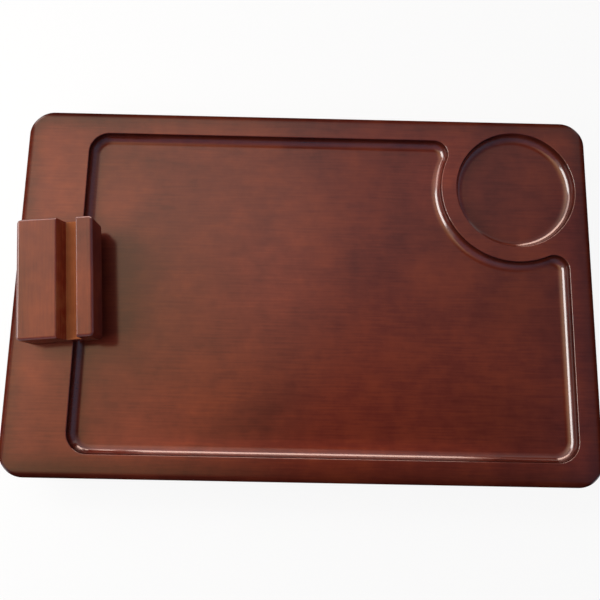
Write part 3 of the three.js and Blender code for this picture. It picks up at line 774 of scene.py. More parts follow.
class ARMREST_OT_tray_board(bpy.types.Operator):
    """Make the routed board with its well, its cup recess and the bore for the phone block's screw"""

    bl_idname = "armrest.tray_board"
    bl_label = "Tray board"

    def well(self, sizes, cup_x, cup_y):
        """Arcs of the well, which follows the rim and swings round the cup recess."""
        left = BOARD_LOW.x + sizes.left_rim_width
        right = BOARD_HIGH.x - sizes.rim_width
        front = BOARD_LOW.y + sizes.rim_width
        rear = BOARD_HIGH.y - sizes.rim_width
        corner = sizes.well_corner_radius
        notch = sizes.notch_radius
        ring = sizes.cup_radius + sizes.ring_width
        reach = ring + notch
        right_x = right - notch
        right_y = cup_y - math.sqrt(reach ** 2 - (right_x - cup_x) ** 2)
        rear_y = rear - notch
        rear_x = cup_x - math.sqrt(reach ** 2 - (rear_y - cup_y) ** 2)
        ring_start = math.atan2(right_y - cup_y, right_x - cup_x)
        ring_end = math.atan2(rear_y - cup_y, rear_x - cup_x) - 2 * math.pi
        return [
            (right - corner, front + corner, corner, -QUARTER_TURN, 0),
            (right_x, right_y, notch, 0, ring_start + math.pi),
            (cup_x, cup_y, ring, ring_start, ring_end),
            (rear_x, rear_y, notch, ring_end + math.pi, QUARTER_TURN),
            (left + corner, rear - corner, corner, QUARTER_TURN, 2 * QUARTER_TURN),
            (left + corner, front + corner, corner, 2 * QUARTER_TURN, 3 * QUARTER_TURN),
        ]

    def execute(self, context):
        settings = context.scene.armrest_tray
        sizes = settings.board
        bottom = BOARD_LOW.z
        top = BOARD_HIGH.z
        bm = bmesh.new()
        edge = rectangle(BOARD_LOW, BOARD_HIGH, sizes.corner_radius)
        lower, upper = moulding(bm, edge, plate_profile(bottom, top, sizes.edge_radius))
        recess = recess_profile(top, top - sizes.well_depth, sizes)
        cup_x = BOARD_HIGH.x - sizes.cup_from_edges
        cup_y = BOARD_HIGH.y - sizes.cup_from_edges
        well, well_floor = moulding(bm, self.well(sizes, cup_x, cup_y), recess)
        cup, cup_floor = moulding(bm, circle(cup_x, cup_y, sizes.cup_radius), recess)
        seat_level = bottom + sizes.counterbore_depth
        bore = circle(*PIVOT.xy, sizes.bore_radius)
        mouth, bore_foot = moulding(bm, bore, bore_profile(top, seat_level, BORE_ARRIS))
        seat_wall = [
            (FLAT, seat_level), (0, seat_level), (0, seat_level - FLAT), (0, bottom + 2 * FLAT),
            (0, bottom + FLAT), (-FLAT, bottom), (-2 * FLAT, bottom),
        ]
        seat, seat_mouth = moulding(bm, circle(*PIVOT.xy, sizes.counterbore_radius), seat_wall)
        cap(bm, upper, well, cup, mouth)
        cap(bm, well_floor)
        cap(bm, cup_floor)
        cap(bm, seat, bore_foot)
        cap(bm, lower, seat_mouth)
        tones = red_brown(settings.finish)
        wood = stained_wood("stained_wood_board", tones, 0, BOARD_LIGHT_AND_SHADE_SPOTS, sizes.toner_reach)
        fit(new_object("routed_board", bm, wood), "board", "stained_wood", "tray_board")
        return {"FINISHED"}


class ARMREST_OT_phone_block(bpy.types.Operator):
    """Make the slotted phone block, turned on its screw"""

    bl_idname = "armrest.phone_block"
    bl_label = "Phone block"

    def section(self, sizes, bottom, top):
        """Corners of the block across its slot.

        Each row is a point, the rounding along the block there, and the rounding of the end face's edge from
        this point to the next. The slot's floor is the fifth side, and its leaning wall the sixth.
        """
        left = -sizes.pivot_from_side
        right = left + sizes.across
        slot_right = right - sizes.slot_lip
        slot_left = slot_right - sizes.slot_floor_width
        slot_floor = top - sizes.slot_depth
        slot_mouth = slot_left - sizes.slot_depth * math.tan(sizes.slot_lean)
        soft = sizes.slot_edge_radius
        edge = sizes.edge_radius
        corner = sizes.corner_radius
        foot = sizes.slot_foot_radius
        return [
            (left, bottom, edge, edge),
            (right, bottom, edge, corner),
            (right, top, edge, edge),
            (slot_right, top, soft, soft),
            (slot_right, slot_floor, foot, soft),
            (slot_left, slot_floor, foot, soft),
            (slot_mouth, top, soft, edge),
            (left, top, edge, corner),
        ]

    def body(self, sizes, section):
        """The block with sharp edges, each with its share of the widest rounding."""
        bm = bmesh.new()
        weights = bm.edges.layers.float.new("bevel_weight_edge")
        ends = []
        for y in (-sizes.along / 2, sizes.along / 2):
            ends.append([bm.verts.new((x, y, z)) for x, z, _, _ in section])
        skin(bm, ends)
        for material_index, i in ((1, 4), (2, 5)):
            face = bm.faces.get([ends[0][i], ends[0][i + 1], ends[1][i + 1], ends[1][i]])
            face.material_index = material_index
        for end in ends:
            bm.faces.new(end)
        for i, (_, _, along, across) in enumerate(section):
            bm.edges.get((ends[0][i], ends[1][i]))[weights] = along / sizes.corner_radius
            for end in ends:
                bm.edges.get((end[i], end[(i + 1) % len(end)]))[weights] = across / sizes.corner_radius
        bm.transform(AT_PIVOT @ Matrix.Rotation(sizes.turn, 4, "Z"))
        return bm

    def execute(self, context):
        settings = context.scene.armrest_tray
        sizes = settings.block
        colours = settings.finish
        low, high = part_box("phone_block")
        grain_angle = QUARTER_TURN + sizes.turn
        wood = stained_wood("stained_wood_block", red_brown(colours), grain_angle, BLOCK_SHADE_SPOTS)
        # The slot's floor has thinner stain, lightened further with painted light
        floor_tones = (colours.slot_painted_light_stain_dark, colours.slot_painted_light_stain, colours.slot_painted_light_stain_light)
        floor_wood = stained_wood("thinly_stained_wood", floor_tones, grain_angle, lacquer=0.1)
        # The slot's leaning wall is the board's stain lightened with painted light
        wall_tones = (colours.stain_light, colours.slot_wall_painted_light, colours.slot_painted_light_stain)
        wall_wood = stained_wood("stained_wood_slot_wall", wall_tones, grain_angle)
        bm = self.body(sizes, self.section(sizes, low.z, high.z))
        block = new_object("slotted_block", bm, wood)
        block.data.materials.append(floor_wood)
        block.data.materials.append(wall_wood)
        rounding = block.modifiers.new("rounding", "BEVEL")
        rounding.limit_method = "WEIGHT"
        rounding.width = sizes.corner_radius
        rounding.segments = BLOCK_EDGE_STEPS
        rounding.use_clamp_overlap = False
        foot = low.z - sizes.hole_depth
        head = low.z + sizes.hole_depth
        rod = [(0, foot), (sizes.hole_radius, foot), (sizes.hole_radius, head), (0, head)]
        drill = new_object("drill", turned(rod, ROUND_SIDES), wood)
        drill.data.transform(AT_PIVOT)
        hole = block.modifiers.new("insert hole", "BOOLEAN")
        hole.operation = "DIFFERENCE"
        hole.object = drill
        normals = block.modifiers.new("flat faces", "WEIGHTED_NORMAL")
        normals.keep_sharp = True
        bake(block)
        bpy.data.objects.remove(drill)
        fit(block, "phone_holder", "stained_wood", "phone_block")
        return {"FINISHED"}


class ARMREST_OT_swivel(bpy.types.Operator):
    """Make the pan-head screw and the two washers that the phone block turns on"""

    bl_idname = "armrest.swivel"
    bl_label = "Swivel screw and washers"

    def screw(self, sizes):
        """The pan-head screw, from its head under the board up into the block."""
        low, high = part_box("swivel_screw")
        seat = low.z + sizes.head_height
        dome = sizes.head_radius - sizes.crown_radius
        rise = sizes.crown_rise
        profile = [
            (sizes.crown_radius + dome * math.sin(a), low.z + rise - rise * math.cos(a))
            for a in quarter(EDGE_STEPS)
        ]
        shank = sizes.shank_radius
        profile += [(sizes.head_radius, seat), (shank, seat), (shank, high.z), (0, high.z)]
        bm = cross_head_screw(profile, ROUND_SIDES, sizes)
        bm.transform(AT_PIVOT)
        return bm

    def execute(self, context):
        settings = context.scene.armrest_tray
        sizes = settings.swivel
        colours = settings.finish
        zinc = zinc_plate(colours)
        nylon = punched_nylon(colours)
        screw = new_object("pan_head_screw", self.screw(sizes), zinc, CREASE)
        fit(screw, "phone_holder", "zinc_steel", "swivel_screw")
        washers = [
            ("steel_washer", "swivel_washer", sizes.washer_radius, sizes.washer_bore, zinc, "zinc_steel"),
            ("nylon_washer", "friction_washer", sizes.friction_radius, sizes.friction_bore, nylon, "nylon"),
        ]
        for name, node, outer, bore, material, slot in washers:
            low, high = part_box(node)
            bm = washer(outer, bore, low.z + sizes.washer_play, high.z, sizes.washer_edge)
            bm.transform(AT_PIVOT)
            fit(new_object(name, bm, material), "board", slot, node)
        brass = plated_metal("turned_brass", colours.brass, patch=1 * MM, smoothest=0.28, roughest=0.4)
        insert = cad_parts["threaded_insert"]
        insert.data.materials.clear()
        insert.data.materials.append(brass)
        return {"FINISHED"}


class ARMREST_OT_clamp_panels(bpy.types.Operator):
    """Make the two clamp panels that fold flat under the board"""

    bl_idname = "armrest.clamp_panels"
    bl_label = "Clamp panels"

    def execute(self, context):
        settings = context.scene.armrest_tray
        sizes = settings.panel
        wood = stained_wood("stained_wood_panel", red_brown(settings.finish), QUARTER_TURN)
        for side in SIDES:
            low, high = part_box(f"{side}_clamp_panel")
            bm = bmesh.new()
            edge = rectangle(low, high, sizes.corner_radius)
            for loop in moulding(bm, edge, plate_profile(low.z, high.z, sizes.edge_radius)):
                cap(bm, loop)
            panel = new_object(f"{side}_panel", bm, wood)
            fit(panel, f"{side}_clamp", "stained_wood", f"{side}_clamp_panel")
        return {"FINISHED"}


class ARMREST_OT_grips(bpy.types.Operator):
    """Make the ribbed rubber grips on the panels and under the board"""

    bl_idname = "armrest.grips"
    bl_label = "Rubber grips"

    def ribbed_strip(self):
        """Tree for a strip with ribs along Y, its base at level 0, turned over and placed at the end."""
        tree, given, result = new_tree("ribbed_strip", {
            "Ribs": "NodeSocketInt",
            "Rib Width": "NodeSocketFloat",
            "Pitch": "NodeSocketFloat",
            "Length": "NodeSocketFloat",
            "Base": "NodeSocketFloat",
            "Thickness": "NodeSocketFloat",
            "Rib Edge": "NodeSocketFloat",
            "Turn": "NodeSocketRotation",
            "Place": "NodeSocketVector",
            "Rubber": "NodeSocketMaterial",
        })
        half = add_node(tree, "ShaderNodeMath", {0: given["Length"], 1: 0.5}, operation="MULTIPLY")
        front = add_node(tree, "ShaderNodeMath", {0: half, 1: -1}, operation="MULTIPLY")
        line = add_node(tree, "GeometryNodeCurvePrimitiveLine", {
            "Start": add_node(tree, "ShaderNodeCombineXYZ", {"Y": front}),
            "End": add_node(tree, "ShaderNodeCombineXYZ", {"Y": half}),
        })
        gaps = add_node(tree, "ShaderNodeMath", {0: given["Ribs"], 1: -1}, operation="ADD")
        span = add_node(tree, "ShaderNodeMath", {0: gaps, 1: given["Pitch"]}, operation="MULTIPLY")
        width = add_node(tree, "ShaderNodeMath", {0: span, 1: given["Rib Width"]}, operation="ADD")
        bars = []
        for wide, high in ((given["Rib Width"], given["Thickness"]), (width, given["Base"])):
            section = add_node(
                tree, "GeometryNodeCurvePrimitiveQuadrilateral", {"Width": wide, "Height": high}
            )
            fillet = add_node(tree, "GeometryNodeFilletCurve", {
                "Curve": section, "Count": 4, "Radius": given["Rib Edge"], "Limit Radius": True,
            }, mode="POLY")
            bar = add_node(tree, "GeometryNodeCurveToMesh", {
                "Curve": line, "Profile Curve": fillet, "Fill Caps": True,
            })
            lift = add_node(tree, "ShaderNodeMath", {0: high, 1: 0.5}, operation="MULTIPLY")
            bars.append(add_node(tree, "GeometryNodeTransform", {
                "Geometry": bar, "Translation": add_node(tree, "ShaderNodeCombineXYZ", {"Z": lift}),
            }))
        rib, base = bars
        first = add_node(tree, "ShaderNodeMath", {0: span, 1: -0.5}, operation="MULTIPLY")
        row = add_node(tree, "GeometryNodeMeshLine", {
            "Count": given["Ribs"],
            "Start Location": add_node(tree, "ShaderNodeCombineXYZ", {"X": first}),
            "Offset": add_node(tree, "ShaderNodeCombineXYZ", {"X": given["Pitch"]}),
        })
        ribs = add_node(tree, "GeometryNodeInstanceOnPoints", {"Points": row, "Instance": rib})
        both = add_node(tree, "GeometryNodeJoinGeometry", {0: ribs})
        feed(tree, both, {0: base})
        placed = add_node(tree, "GeometryNodeTransform", {
            "Geometry": both, "Rotation": given["Turn"], "Translation": given["Place"],
        })
        real = add_node(tree, "GeometryNodeRealizeInstances", {"Geometry": placed})
        coated = add_node(tree, "GeometryNodeSetMaterial", {"Geometry": real, "Material": given["Rubber"]})
        feed(tree, result, {0: coated})
        return tree

    def execute(self, context):
        settings = context.scene.armrest_tray
        sizes = settings.grip
        rubber = moulded_rubber(settings.finish)
        tree = self.ribbed_strip()
        pitch = sizes.rib_width + sizes.groove_width
        grips = {
            "left_panel_grip": "left_clamp",
            "right_panel_grip": "right_clamp",
            "left_stop_grip": "board",
            "right_stop_grip": "board",
            "centre_grip": "board",
        }
        for node, body in grips.items():
            low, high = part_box(node)
            # Grips on the board hang from it with their ribs down
            hanging = body == "board"
            grip = grow(new_object(node.replace("grip", "ribs"), bmesh.new(), rubber), tree, {
                "Ribs": round((high.x - low.x + sizes.groove_width) / pitch),
                "Rib Width": sizes.rib_width,
                "Pitch": pitch,
                "Length": high.y - low.y,
                "Base": sizes.base,
                "Thickness": high.z - low.z,
                "Rib Edge": sizes.rib_edge,
                "Turn": (0, math.pi if hanging else 0, 0),
                "Place": ((low.x + high.x) / 2, (low.y + high.y) / 2, high.z if hanging else low.z),
                "Rubber": rubber,
            })
            grip.data.shade_smooth()
            grip.data.set_sharp_from_angle(angle=CREASE)
            fit(grip, body, "rubber", node)
        return {"FINISHED"}


class ARMREST_OT_hinges(bpy.types.Operator):
    """Make the leaves and the pins of the four butt hinges"""

    bl_idname = "armrest.hinges"
    bl_label = "Hinge leaves and pins"

    def leaf_outline(self, sizes, inner, outer):
        """Corners of a leaf, anticlockwise, with a tongue to each knuckle between inner and outer."""
        half = sizes.half_width
        notch = sizes.leaf_notch
        soft = NOTCH_CORNER
        rear = [(sizes.leaf_length, half, sizes.leaf_corner)]
        if half - outer > 2 * soft:
            rear += [(notch, half, soft), (notch, outer, soft)]
        rear += [(0, outer, soft), (0, inner, soft), (notch, inner, soft)]
        front = [(x, -y, radius) for x, y, radius in reversed(rear)]
        return front[-1:] + rear + front[:-1]

    def leaf(self, sizes, screw, inner):
        """A leaf on the level above its pin, with a rolled knuckle at each end of the spring."""
        outer = inner + sizes.knuckle_length
        top = sizes.half_gap
        bottom = top - sizes.leaf_thickness
        bm = bmesh.new()
        outline = rounded(self.leaf_outline(sizes, inner, outer))
        lower, upper = moulding(bm, outline, plate_profile(bottom, top, sizes.leaf_edge, ARRIS_STEPS))
        slope = screw.hole_mouth - screw.hole_radius
        countersink = [(-FLAT, bottom), (0, bottom), (slope, top), (slope - FLAT, top)]
        mouths = []
        backs = []
        for spot in screw_spots(screw, sizes):
            mouth, back = moulding(bm, circle(*spot.xy, screw.hole_mouth), countersink)
            mouths.append(mouth)
            backs.append(back)
        cap(bm, lower, *mouths)
        cap(bm, upper, *backs)
        barrel = washer(
            sizes.knuckle_radius, sizes.knuckle_bore, 0, sizes.knuckle_length, sizes.knuckle_edge
        )
        along_pin = Matrix.Rotation(-QUARTER_TURN, 4, "X")
        return merged([
            (bm, Matrix.Identity(4)),
            (barrel, Matrix.Translation((0, inner, 0)) @ along_pin),
            (barrel, Matrix.Translation((0, -outer, 0)) @ along_pin),
        ])

    def pin(self, sizes):
        """A pin along Y with a domed riveted head at each end."""
        end = sizes.half_width + sizes.pin_room
        head = [
            (sizes.pin_head_radius * math.sin(a), end + sizes.pin_head_length * math.cos(a))
            for a in reversed(quarter(DOME_STEPS))
        ]
        profile = [(radius, -level) for radius, level in reversed(head)]
        profile += [(sizes.pin_radius, -end), (sizes.pin_radius, end)]
        rod = turned(profile + head, SMALL_SIDES)
        rod.transform(Matrix.Rotation(-QUARTER_TURN, 4, "X"))
        return rod

    def execute(self, context):
        settings = context.scene.armrest_tray
        sizes = settings.hinge
        steel = powder_coated_steel(settings.finish)
        zinc = zinc_plate(settings.finish)
        places = {hinge: hinge_place(hinge) for hinge in HINGES}
        board_leaf = self.leaf(sizes, settings.screw, sizes.board_knuckle)
        panel_leaf = self.leaf(sizes, settings.screw, sizes.panel_knuckle)
        pin = self.pin(sizes)
        upright = Matrix.Identity(4)
        over = Matrix.Rotation(math.pi, 4, "X")
        left, right = ([hinge for hinge in HINGES if hinge.startswith(side)] for side in SIDES)
        coated = (steel, "black_steel")
        plated = (zinc, "zinc_steel")
        groups = [
            ("board_leaves", "board", board_leaf, upright, HINGES, "board_leaf", coated),
            ("left_panel_leaves", "left_clamp", panel_leaf, over, left, "panel_leaf", coated),
            ("right_panel_leaves", "right_clamp", panel_leaf, over, right, "panel_leaf", coated),
            ("hinge_pins", "board", pin, upright, HINGES, "hinge_pin", plated),
        ]
        for name, body, shape, turn, hinges, node, (material, slot) in groups:
            bm = merged([(shape, places[hinge] @ turn) for hinge in hinges])
            pieces = new_object(name, bm, material, CREASE)
            fit(pieces, body, slot, *[f"{hinge}_{node}" for hinge in hinges])
        return {"FINISHED"}


class ARMREST_OT_springs(bpy.types.Operator):
    """Wind the torsion springs, one round each hinge pin, with a leg along each of its two leaves"""

    bl_idname = "armrest.springs"
    bl_label = "Torsion springs"

    def path(self, sizes):
        """The wire's middle line: in along the board leaf, round the pin, and out along the panel leaf."""
        radius = sizes.coil_radius
        reach = sizes.half_length
        leg = [sizes.leg * i / sizes.leg_steps for i in range(1, sizes.leg_steps + 1)]
        points = [Vector((x, -reach, radius)) for x in reversed(leg)]
        steps = round(sizes.turns * sizes.curl_steps)
        for i in range(steps + 1):
            turn = QUARTER_TURN + 2 * math.pi * sizes.turns * i / steps
            y = reach * (2 * i / steps - 1)
            points.append(Vector((radius * math.cos(turn), y, radius * math.sin(turn))))
        return points + [Vector((x, reach, -radius)) for x in leg]

    def wire(self, points, sizes):
        """A round wire along the points, with a small chamfer at each cut end."""
        radius = sizes.wire_radius
        chamfer = sizes.end_chamfer
        last = len(points) - 1
        tangents = [
            (points[min(i + 1, last)] - points[max(i - 1, 0)]).normalized() for i in range(len(points))
        ]
        stations = [(points[0], tangents[0], radius - chamfer)]
        stations += [(points[0] + tangents[0] * chamfer, tangents[0], radius)]
        stations += [(point, tangent, radius) for point, tangent in zip(points[1:-1], tangents[1:-1])]
        stations += [(points[-1] - tangents[-1] * chamfer, tangents[-1], radius)]
        stations += [(points[-1], tangents[-1], radius - chamfer)]
        bm = bmesh.new()
        side = Vector((0, 1, 0))
        loops = [[bm.verts.new(points[0])]]
        for point, tangent, wide in stations:
            side = (side - tangent * side.dot(tangent)).normalized()
            rise = tangent.cross(side)
            spokes = [side * math.cos(a) + rise * math.sin(a) for a in around(WIRE_SIDES)]
            loops.append([bm.verts.new(point + wide * spoke) for spoke in spokes])
        loops.append([bm.verts.new(points[-1])])
        skin(bm, loops)
        return bm

    def execute(self, context):
        settings = context.scene.armrest_tray
        sizes = settings.spring
        tone = settings.finish.spring_wire
        steel = plated_metal("drawn_spring_wire", tone, patch=2 * MM, smoothest=0.22, roughest=0.36)
        for hinge, clamp in HINGES.items():
            place = hinge_place(hinge)
            bm = self.wire(self.path(sizes), sizes)
            bm.transform(place)
            spring = new_object(f"{hinge}_spring", bm, steel, WIRE_CREASE)
            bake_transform(spring)
            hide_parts(f"{hinge}_torsion_spring")
        return {"FINISHED"}


class ARMREST_OT_wood_screws(bpy.types.Operator):
    """Set the countersunk wood screws in the hinge leaves"""

    bl_idname = "armrest.wood_screws"
    bl_label = "Wood screws"

    def screw(self, sizes, leaf):
        """A countersunk screw pointing up, its face at level 0, with a thread drawn as rings."""
        profile = [
            (sizes.head_radius - sizes.head_chamfer, 0),
            (sizes.head_radius, sizes.head_chamfer),
            (sizes.shank_radius, leaf),
        ]
        level = leaf + sizes.neck
        profile.append((sizes.core_radius, level))
        while level + sizes.thread_pitch < sizes.overall - sizes.point:
            profile.append((sizes.shank_radius, level + sizes.thread_pitch / 2))
            level += sizes.thread_pitch
            profile.append((sizes.core_radius, level))
        profile.append((0, sizes.overall))
        return cross_head_screw(profile, SMALL_SIDES, sizes)

    def scattered(self):
        """Tree that sets a copy of a screw on each point, driven to a different angle each."""
        tree, given, result = new_tree("driven_screws", {
            "Screw": "NodeSocketObject",
            "Over": "NodeSocketFloat",
            "Seed": "NodeSocketInt",
            "Zinc": "NodeSocketMaterial",
        })
        copy = add_node(tree, "GeometryNodeObjectInfo", {"Object": given["Screw"]}).outputs["Geometry"]
        driven = add_node(
            tree, "FunctionNodeRandomValue", {"Max": 2 * math.pi, "Seed": given["Seed"]}
        ).outputs["Value"]
        angles = add_node(tree, "ShaderNodeCombineXYZ", {"X": given["Over"], "Z": driven})
        turn = add_node(tree, "FunctionNodeEulerToRotation", {"Euler": angles})
        screws = add_node(tree, "GeometryNodeInstanceOnPoints", {
            "Points": given["Geometry"], "Instance": copy, "Rotation": turn,
        })
        real = add_node(tree, "GeometryNodeRealizeInstances", {"Geometry": screws})
        coated = add_node(tree, "GeometryNodeSetMaterial", {"Geometry": real, "Material": given["Zinc"]})
        feed(tree, result, {0: coated})
        return tree

    def execute(self, context):
        settings = context.scene.armrest_tray
        sizes = settings.screw
        hinge = settings.hinge
        zinc = zinc_plate(settings.finish)
        pattern = new_object("screw_pattern", self.screw(sizes, hinge.leaf_thickness), zinc, CREASE)
        tree = self.scattered()
        face = hinge.half_gap - hinge.leaf_thickness
        left, right = ([key for key in HINGES if key.startswith(side)] for side in SIDES)
        groups = [
            ("board_screws", "board", "board", HINGES, face, 0),
            ("left_panel_screws", "left_clamp", "panel", left, -face, math.pi),
            ("right_panel_screws", "right_clamp", "panel", right, -face, math.pi),
        ]
        for seed, (name, body, leaf, hinges, level, over) in enumerate(groups):
            points = bmesh.new()
            nodes = []
            for key in hinges:
                for number, spot in enumerate(screw_spots(sizes, hinge), 1):
                    points.verts.new(hinge_place(key) @ (spot + UP * level))
                    nodes.append(f"{key}_{leaf}_screw_{number}")
            screws = grow(new_object(name, points, zinc), tree, {
                "Screw": pattern, "Over": over, "Seed": seed, "Zinc": zinc,
            })
            fit(screws, body, "zinc_steel", *nodes)
        bpy.data.objects.remove(pattern)
        return {"FINISHED"}


# Camera that the photograph's perspective gives, with its axes as columns
CAMERA_SENSOR_MM = 36
CAMERA_LENS_MM = 38.73
CAMERA_PLACE = Vector((-6.057, -83.489, 461.124)) * MM
CAMERA_AXES = Matrix((
    (0.9998, -0.0210, -0.0068),
    (0.0195, 0.9838, -0.1784),
    (0.0104, 0.1782, 0.9839),
))

# The floor's half side, its drop under the tray, and the roughness of the floor and the cards
FLOOR_REACH = 20
FLOOR_DROP = 0.5 * MM
DULL = 0.9

# Dull cards that keep reflections dim: colour, lowest corner and highest corner
SLATE = 0x788EAE
UMBER = 0x905040
CARDS = {
    "front_card": (SLATE, (-1.6, -1.1, 0.02), (1.6, -1.1, 1.9)),
    "right_card": (SLATE, (1.1, -1.6, 0.02), (1.1, 0.9, 2.2)),
    "rear_card": (UMBER, (0.42, 1.2, 0.02), (1.1, 1.2, 0.9)),
}

# Lamps: place, way that each faces, width and height, radiance and tint. The first ones light the stain,
# and the others only show in the lacquer.
SOFT_WHITE = (1, 0.97, 0.94)
STAIN_LAMPS = {
    "low_left": ((-0.45, 0, 0.32), (1, 0, -0.5), (0.4, 0.3), 4.8, SOFT_WHITE),
    "tall_left": ((-0.45, 0.3, 0.475), (0.9, -0.4, 0), (0.2, 0.55), 2.4, SOFT_WHITE),
    "high_rear": ((-0.22, 0.33, 0.68), (0.1, -0.35, -0.9), (0.35, 0.2), 4.0, SOFT_WHITE),
    "fill": ((0.7, -0.1, 0.25), (-1, 0, 0), (0.6, 0.3), 0.95, (1, 1, 1)),
}
LACQUER_LAMPS = {
    "rear_left": ((-0.6, 0.62, 0.35), (0.7, -0.7, 0), (0.5, 0.4), 3, (1, 0.72, 0.62)),
    "window": ((-0.6, 0.1, 0.52), (1, 0, 0), (0.54, 0.45), 6.5, (1, 0.96, 0.93)),
    "rear_strip": ((-0.035, 0.85, 0.28), (0, -1, 0), (0.84, 0.4), 5.5, (1, 0.67, 0.55)),
}


class ARMREST_OT_stage(bpy.types.Operator):
    """Set up the pale floor, the soft light from the left and the rear, and the camera"""

    bl_idname = "armrest.stage"
    bl_label = "Stage"

    def plane(self, name, corners, material):
        """A four-sided piece of the stage."""
        bm = bmesh.new()
        bm.faces.new([bm.verts.new(corner) for corner in corners])
        plane = new_object(name, bm, material)
        return plane

    def floor(self, colours):
        """Pale floor that keeps the tray's shadow, turns white away from it, and is clear from below."""
        # Share of plain white that the floor shows to diffuse rays
        bounced = 0.55
        material, tree, shader = blank_material("pale_floor")
        feed(tree, shader, {"Base Color": colours.floor, "Roughness": DULL})
        path = add_node(tree, "ShaderNodeLightPath").outputs
        seen = path["Is Camera Ray"]
        for ray in ("Is Glossy Ray", "Is Transmission Ray"):
            seen = add_node(tree, "ShaderNodeMath", {0: seen, 1: path[ray]}, operation="ADD")
        glow = add_node(tree, "ShaderNodeMath", {0: path["Is Diffuse Ray"], 1: bounced}, operation="MULTIPLY")
        place = add_node(tree, "ShaderNodeTexCoord").outputs["Object"]
        away = add_node(tree, "ShaderNodeVectorMath", {0: place}, operation="LENGTH").outputs["Value"]
        cover = add_node(tree, "ShaderNodeMapRange", {
            "Value": away, "From Min": 0.7, "From Max": 2.5, "To Min": 0.91, "To Max": 1.0,
        }, interpolation_type="SMOOTHSTEP")
        share = add_node(tree, "ShaderNodeMath", {0: seen, 1: cover, 2: glow}, operation="MULTIPLY_ADD")
        white = add_node(tree, "ShaderNodeEmission", {"Color": (1, 1, 1, 1), "Strength": 1})
        lit = add_node(tree, "ShaderNodeMixShader", {0: share, 1: shader, 2: white})
        below = add_node(tree, "ShaderNodeNewGeometry").outputs["Backfacing"]
        clear = add_node(tree, "ShaderNodeBsdfTransparent")
        both = add_node(tree, "ShaderNodeMixShader", {0: below, 1: lit, 2: clear})
        feed(tree, tree.nodes["Material Output"], {"Surface": both})
        ends = ((-1, -1), (1, -1), (1, 1), (-1, 1))
        corners = [(x * FLOOR_REACH, y * FLOOR_REACH, -FLOOR_DROP) for x, y in ends]
        self.plane("floor", corners, material)

    def card(self, name, code, low, high):
        """An upright card beside the tray, out of the camera's sight."""
        material, tree, shader = blank_material(name)
        feed(tree, shader, {"Base Color": linear(code), "Roughness": DULL})
        corners = [low, (*high[:2], low[2]), high, (*low[:2], high[2])]
        self.plane(name, corners, material).visible_camera = False

    def lamp(self, name, in_lacquer, place, facing, size, radiance, tint):
        """A rectangular lamp that either shows in the lacquer or lights the stain under it."""
        light = bpy.data.lights.new(name, "AREA")
        light.shape = "RECTANGLE"
        light.size, light.size_y = size
        light.energy = radiance * math.pi * size[0] * size[1]
        light.color = tint
        lamp = bpy.data.objects.new(name, light)
        lamp.location = place
        lamp.rotation_euler = Vector(facing).to_track_quat("-Z", "Y").to_euler()
        lamp.visible_camera = False
        lamp.visible_glossy = in_lacquer
        lamp.visible_diffuse = not in_lacquer
        bpy.context.scene.collection.objects.link(lamp)

    def room(self):
        """World that is pale near the horizon and dim above, brighter to the rear and warmer to the left.

        The camera sees it plain white.
        """
        world = bpy.data.worlds.new("room")
        bpy.context.scene.world = world
        world.use_nodes = True
        tree = world.node_tree
        direction = add_node(tree, "ShaderNodeTexCoord").outputs["Generated"]
        way = add_node(tree, "ShaderNodeSeparateXYZ", {0: direction}).outputs
        rear = add_node(tree, "ShaderNodeMapRange", {"Value": way["Y"], "From Max": 0.3, "To Max": 0.5})
        shade = add_node(tree, "ShaderNodeMapRange", {
            "Value": way["X"], "From Max": 0.35, "To Min": 1.0, "To Max": 0.4,
        })
        rear = add_node(tree, "ShaderNodeMath", {0: rear, 1: shade}, operation="MULTIPLY")
        # The warm light of the left falls off sooner towards the front
        front = add_node(tree, "ShaderNodeMapRange", {
            "Value": way["Y"], "From Min": -0.1, "From Max": 0.1, "To Min": 0.11, "To Max": 0.0,
        })
        aside = add_node(tree, "ShaderNodeMath", {0: way["X"], 1: front}, operation="ADD")
        left = add_node(tree, "ShaderNodeMapRange", {
            "Value": aside, "From Min": -0.38, "From Max": 0.1, "To Min": 0.76, "To Max": 0.0,
        })
        warm = (2.0, 1.33, 0.67)
        sky = add_node(tree, "ShaderNodeVectorMath", {0: left, 1: warm, 2: rear}, operation="MULTIPLY_ADD")
        pale = add_node(tree, "ShaderNodeMapRange", {
            "Value": way["Z"], "From Min": 0.5, "From Max": 1.0, "To Min": 1.0, "To Max": 0.0,
        })
        path = add_node(tree, "ShaderNodeLightPath").outputs
        plain = add_node(tree, "ShaderNodeMath", {0: pale, 1: path["Is Camera Ray"]}, operation="MAXIMUM")
        horizon = add_node(tree, "ShaderNodeMapRange", {
            "Value": path["Is Glossy Ray"], "To Min": 1.0, "To Max": 0.5,
        })
        seen = add_node(tree, "ShaderNodeMix", {
            "Factor": plain, "A": sky, "B": horizon,
        }, data_type="RGBA").outputs["Result"]
        share = add_node(tree, "ShaderNodeMapRange", {
            "Value": path["Is Diffuse Ray"], "To Min": 1.0, "To Max": 0.4,
        })
        feed(tree, tree.nodes["Background"], {"Color": seen, "Strength": share})

    def camera(self):
        """Camera at the photograph's place, with its lens."""
        data = bpy.data.cameras.new("camera")
        data.sensor_width = CAMERA_SENSOR_MM
        data.lens = CAMERA_LENS_MM
        data.clip_start = 10 * MM
        camera = bpy.data.objects.new("camera", data)
        camera.matrix_world = Matrix.Translation(CAMERA_PLACE) @ CAMERA_AXES.to_4x4()
        bpy.context.scene.collection.objects.link(camera)
        bpy.context.scene.camera = camera

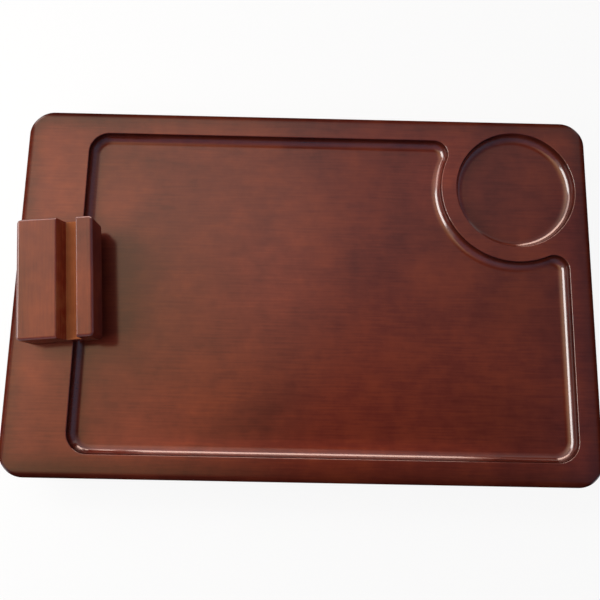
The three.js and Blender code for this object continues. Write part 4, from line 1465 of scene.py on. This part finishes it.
    def execute(self, context):
        context.scene.view_settings.view_transform = "Standard"
        self.floor(context.scene.armrest_tray.finish)
        for name, (code, low, high) in CARDS.items():
            self.card(name, code, low, high)
        for lamps, in_lacquer in ((STAIN_LAMPS, False), (LACQUER_LAMPS, True)):
            for name, settings in lamps.items():
                self.lamp(name, in_lacquer, *settings)
        self.room()
        self.camera()
        return {"FINISHED"}


class ARMREST_PT_tray(bpy.types.Panel):
    """Lists the tray's pieces, sizes and colours"""

    bl_label = "Armrest tray"
    bl_idname = "ARMREST_PT_tray"
    bl_space_type = "VIEW_3D"
    bl_region_type = "UI"
    bl_category = "Armrest tray"

    def draw(self, context):
        settings = context.scene.armrest_tray
        for operator in OPERATORS:
            self.layout.operator(operator.bl_idname)
        for group in TraySettings.__annotations__:
            box = self.layout.box()
            box.label(text=group.capitalize())
            sizes = getattr(settings, group)
            for key in type(sizes).__annotations__:
                box.prop(sizes, key)


OPERATORS = (
    ARMREST_OT_tray_board,
    ARMREST_OT_phone_block,
    ARMREST_OT_swivel,
    ARMREST_OT_clamp_panels,
    ARMREST_OT_grips,
    ARMREST_OT_hinges,
    ARMREST_OT_springs,
    ARMREST_OT_wood_screws,
    ARMREST_OT_stage,
)

CLASSES = (
    TrayBoardSizes,
    PhoneBlockSizes,
    SwivelSizes,
    ClampPanelSizes,
    GripSizes,
    HingeSizes,
    SpringSizes,
    ScrewSizes,
    Finishes,
    TraySettings,
    *OPERATORS,
    ARMREST_PT_tray,
)


def register():
    for cls in CLASSES:
        bpy.utils.register_class(cls)
    bpy.types.Scene.armrest_tray = PointerProperty(type=TraySettings)


def unregister():
    del bpy.types.Scene.armrest_tray
    for cls in reversed(CLASSES):
        bpy.utils.unregister_class(cls)


def main():
    register()
    bpy.ops.armrest.tray_board()
    bpy.ops.armrest.phone_block()
    bpy.ops.armrest.swivel()
    bpy.ops.armrest.clamp_panels()
    bpy.ops.armrest.grips()
    bpy.ops.armrest.hinges()
    bpy.ops.armrest.springs()
    bpy.ops.armrest.wood_screws()
    bpy.ops.armrest.stage()


if __name__ == "__main__":
    main()
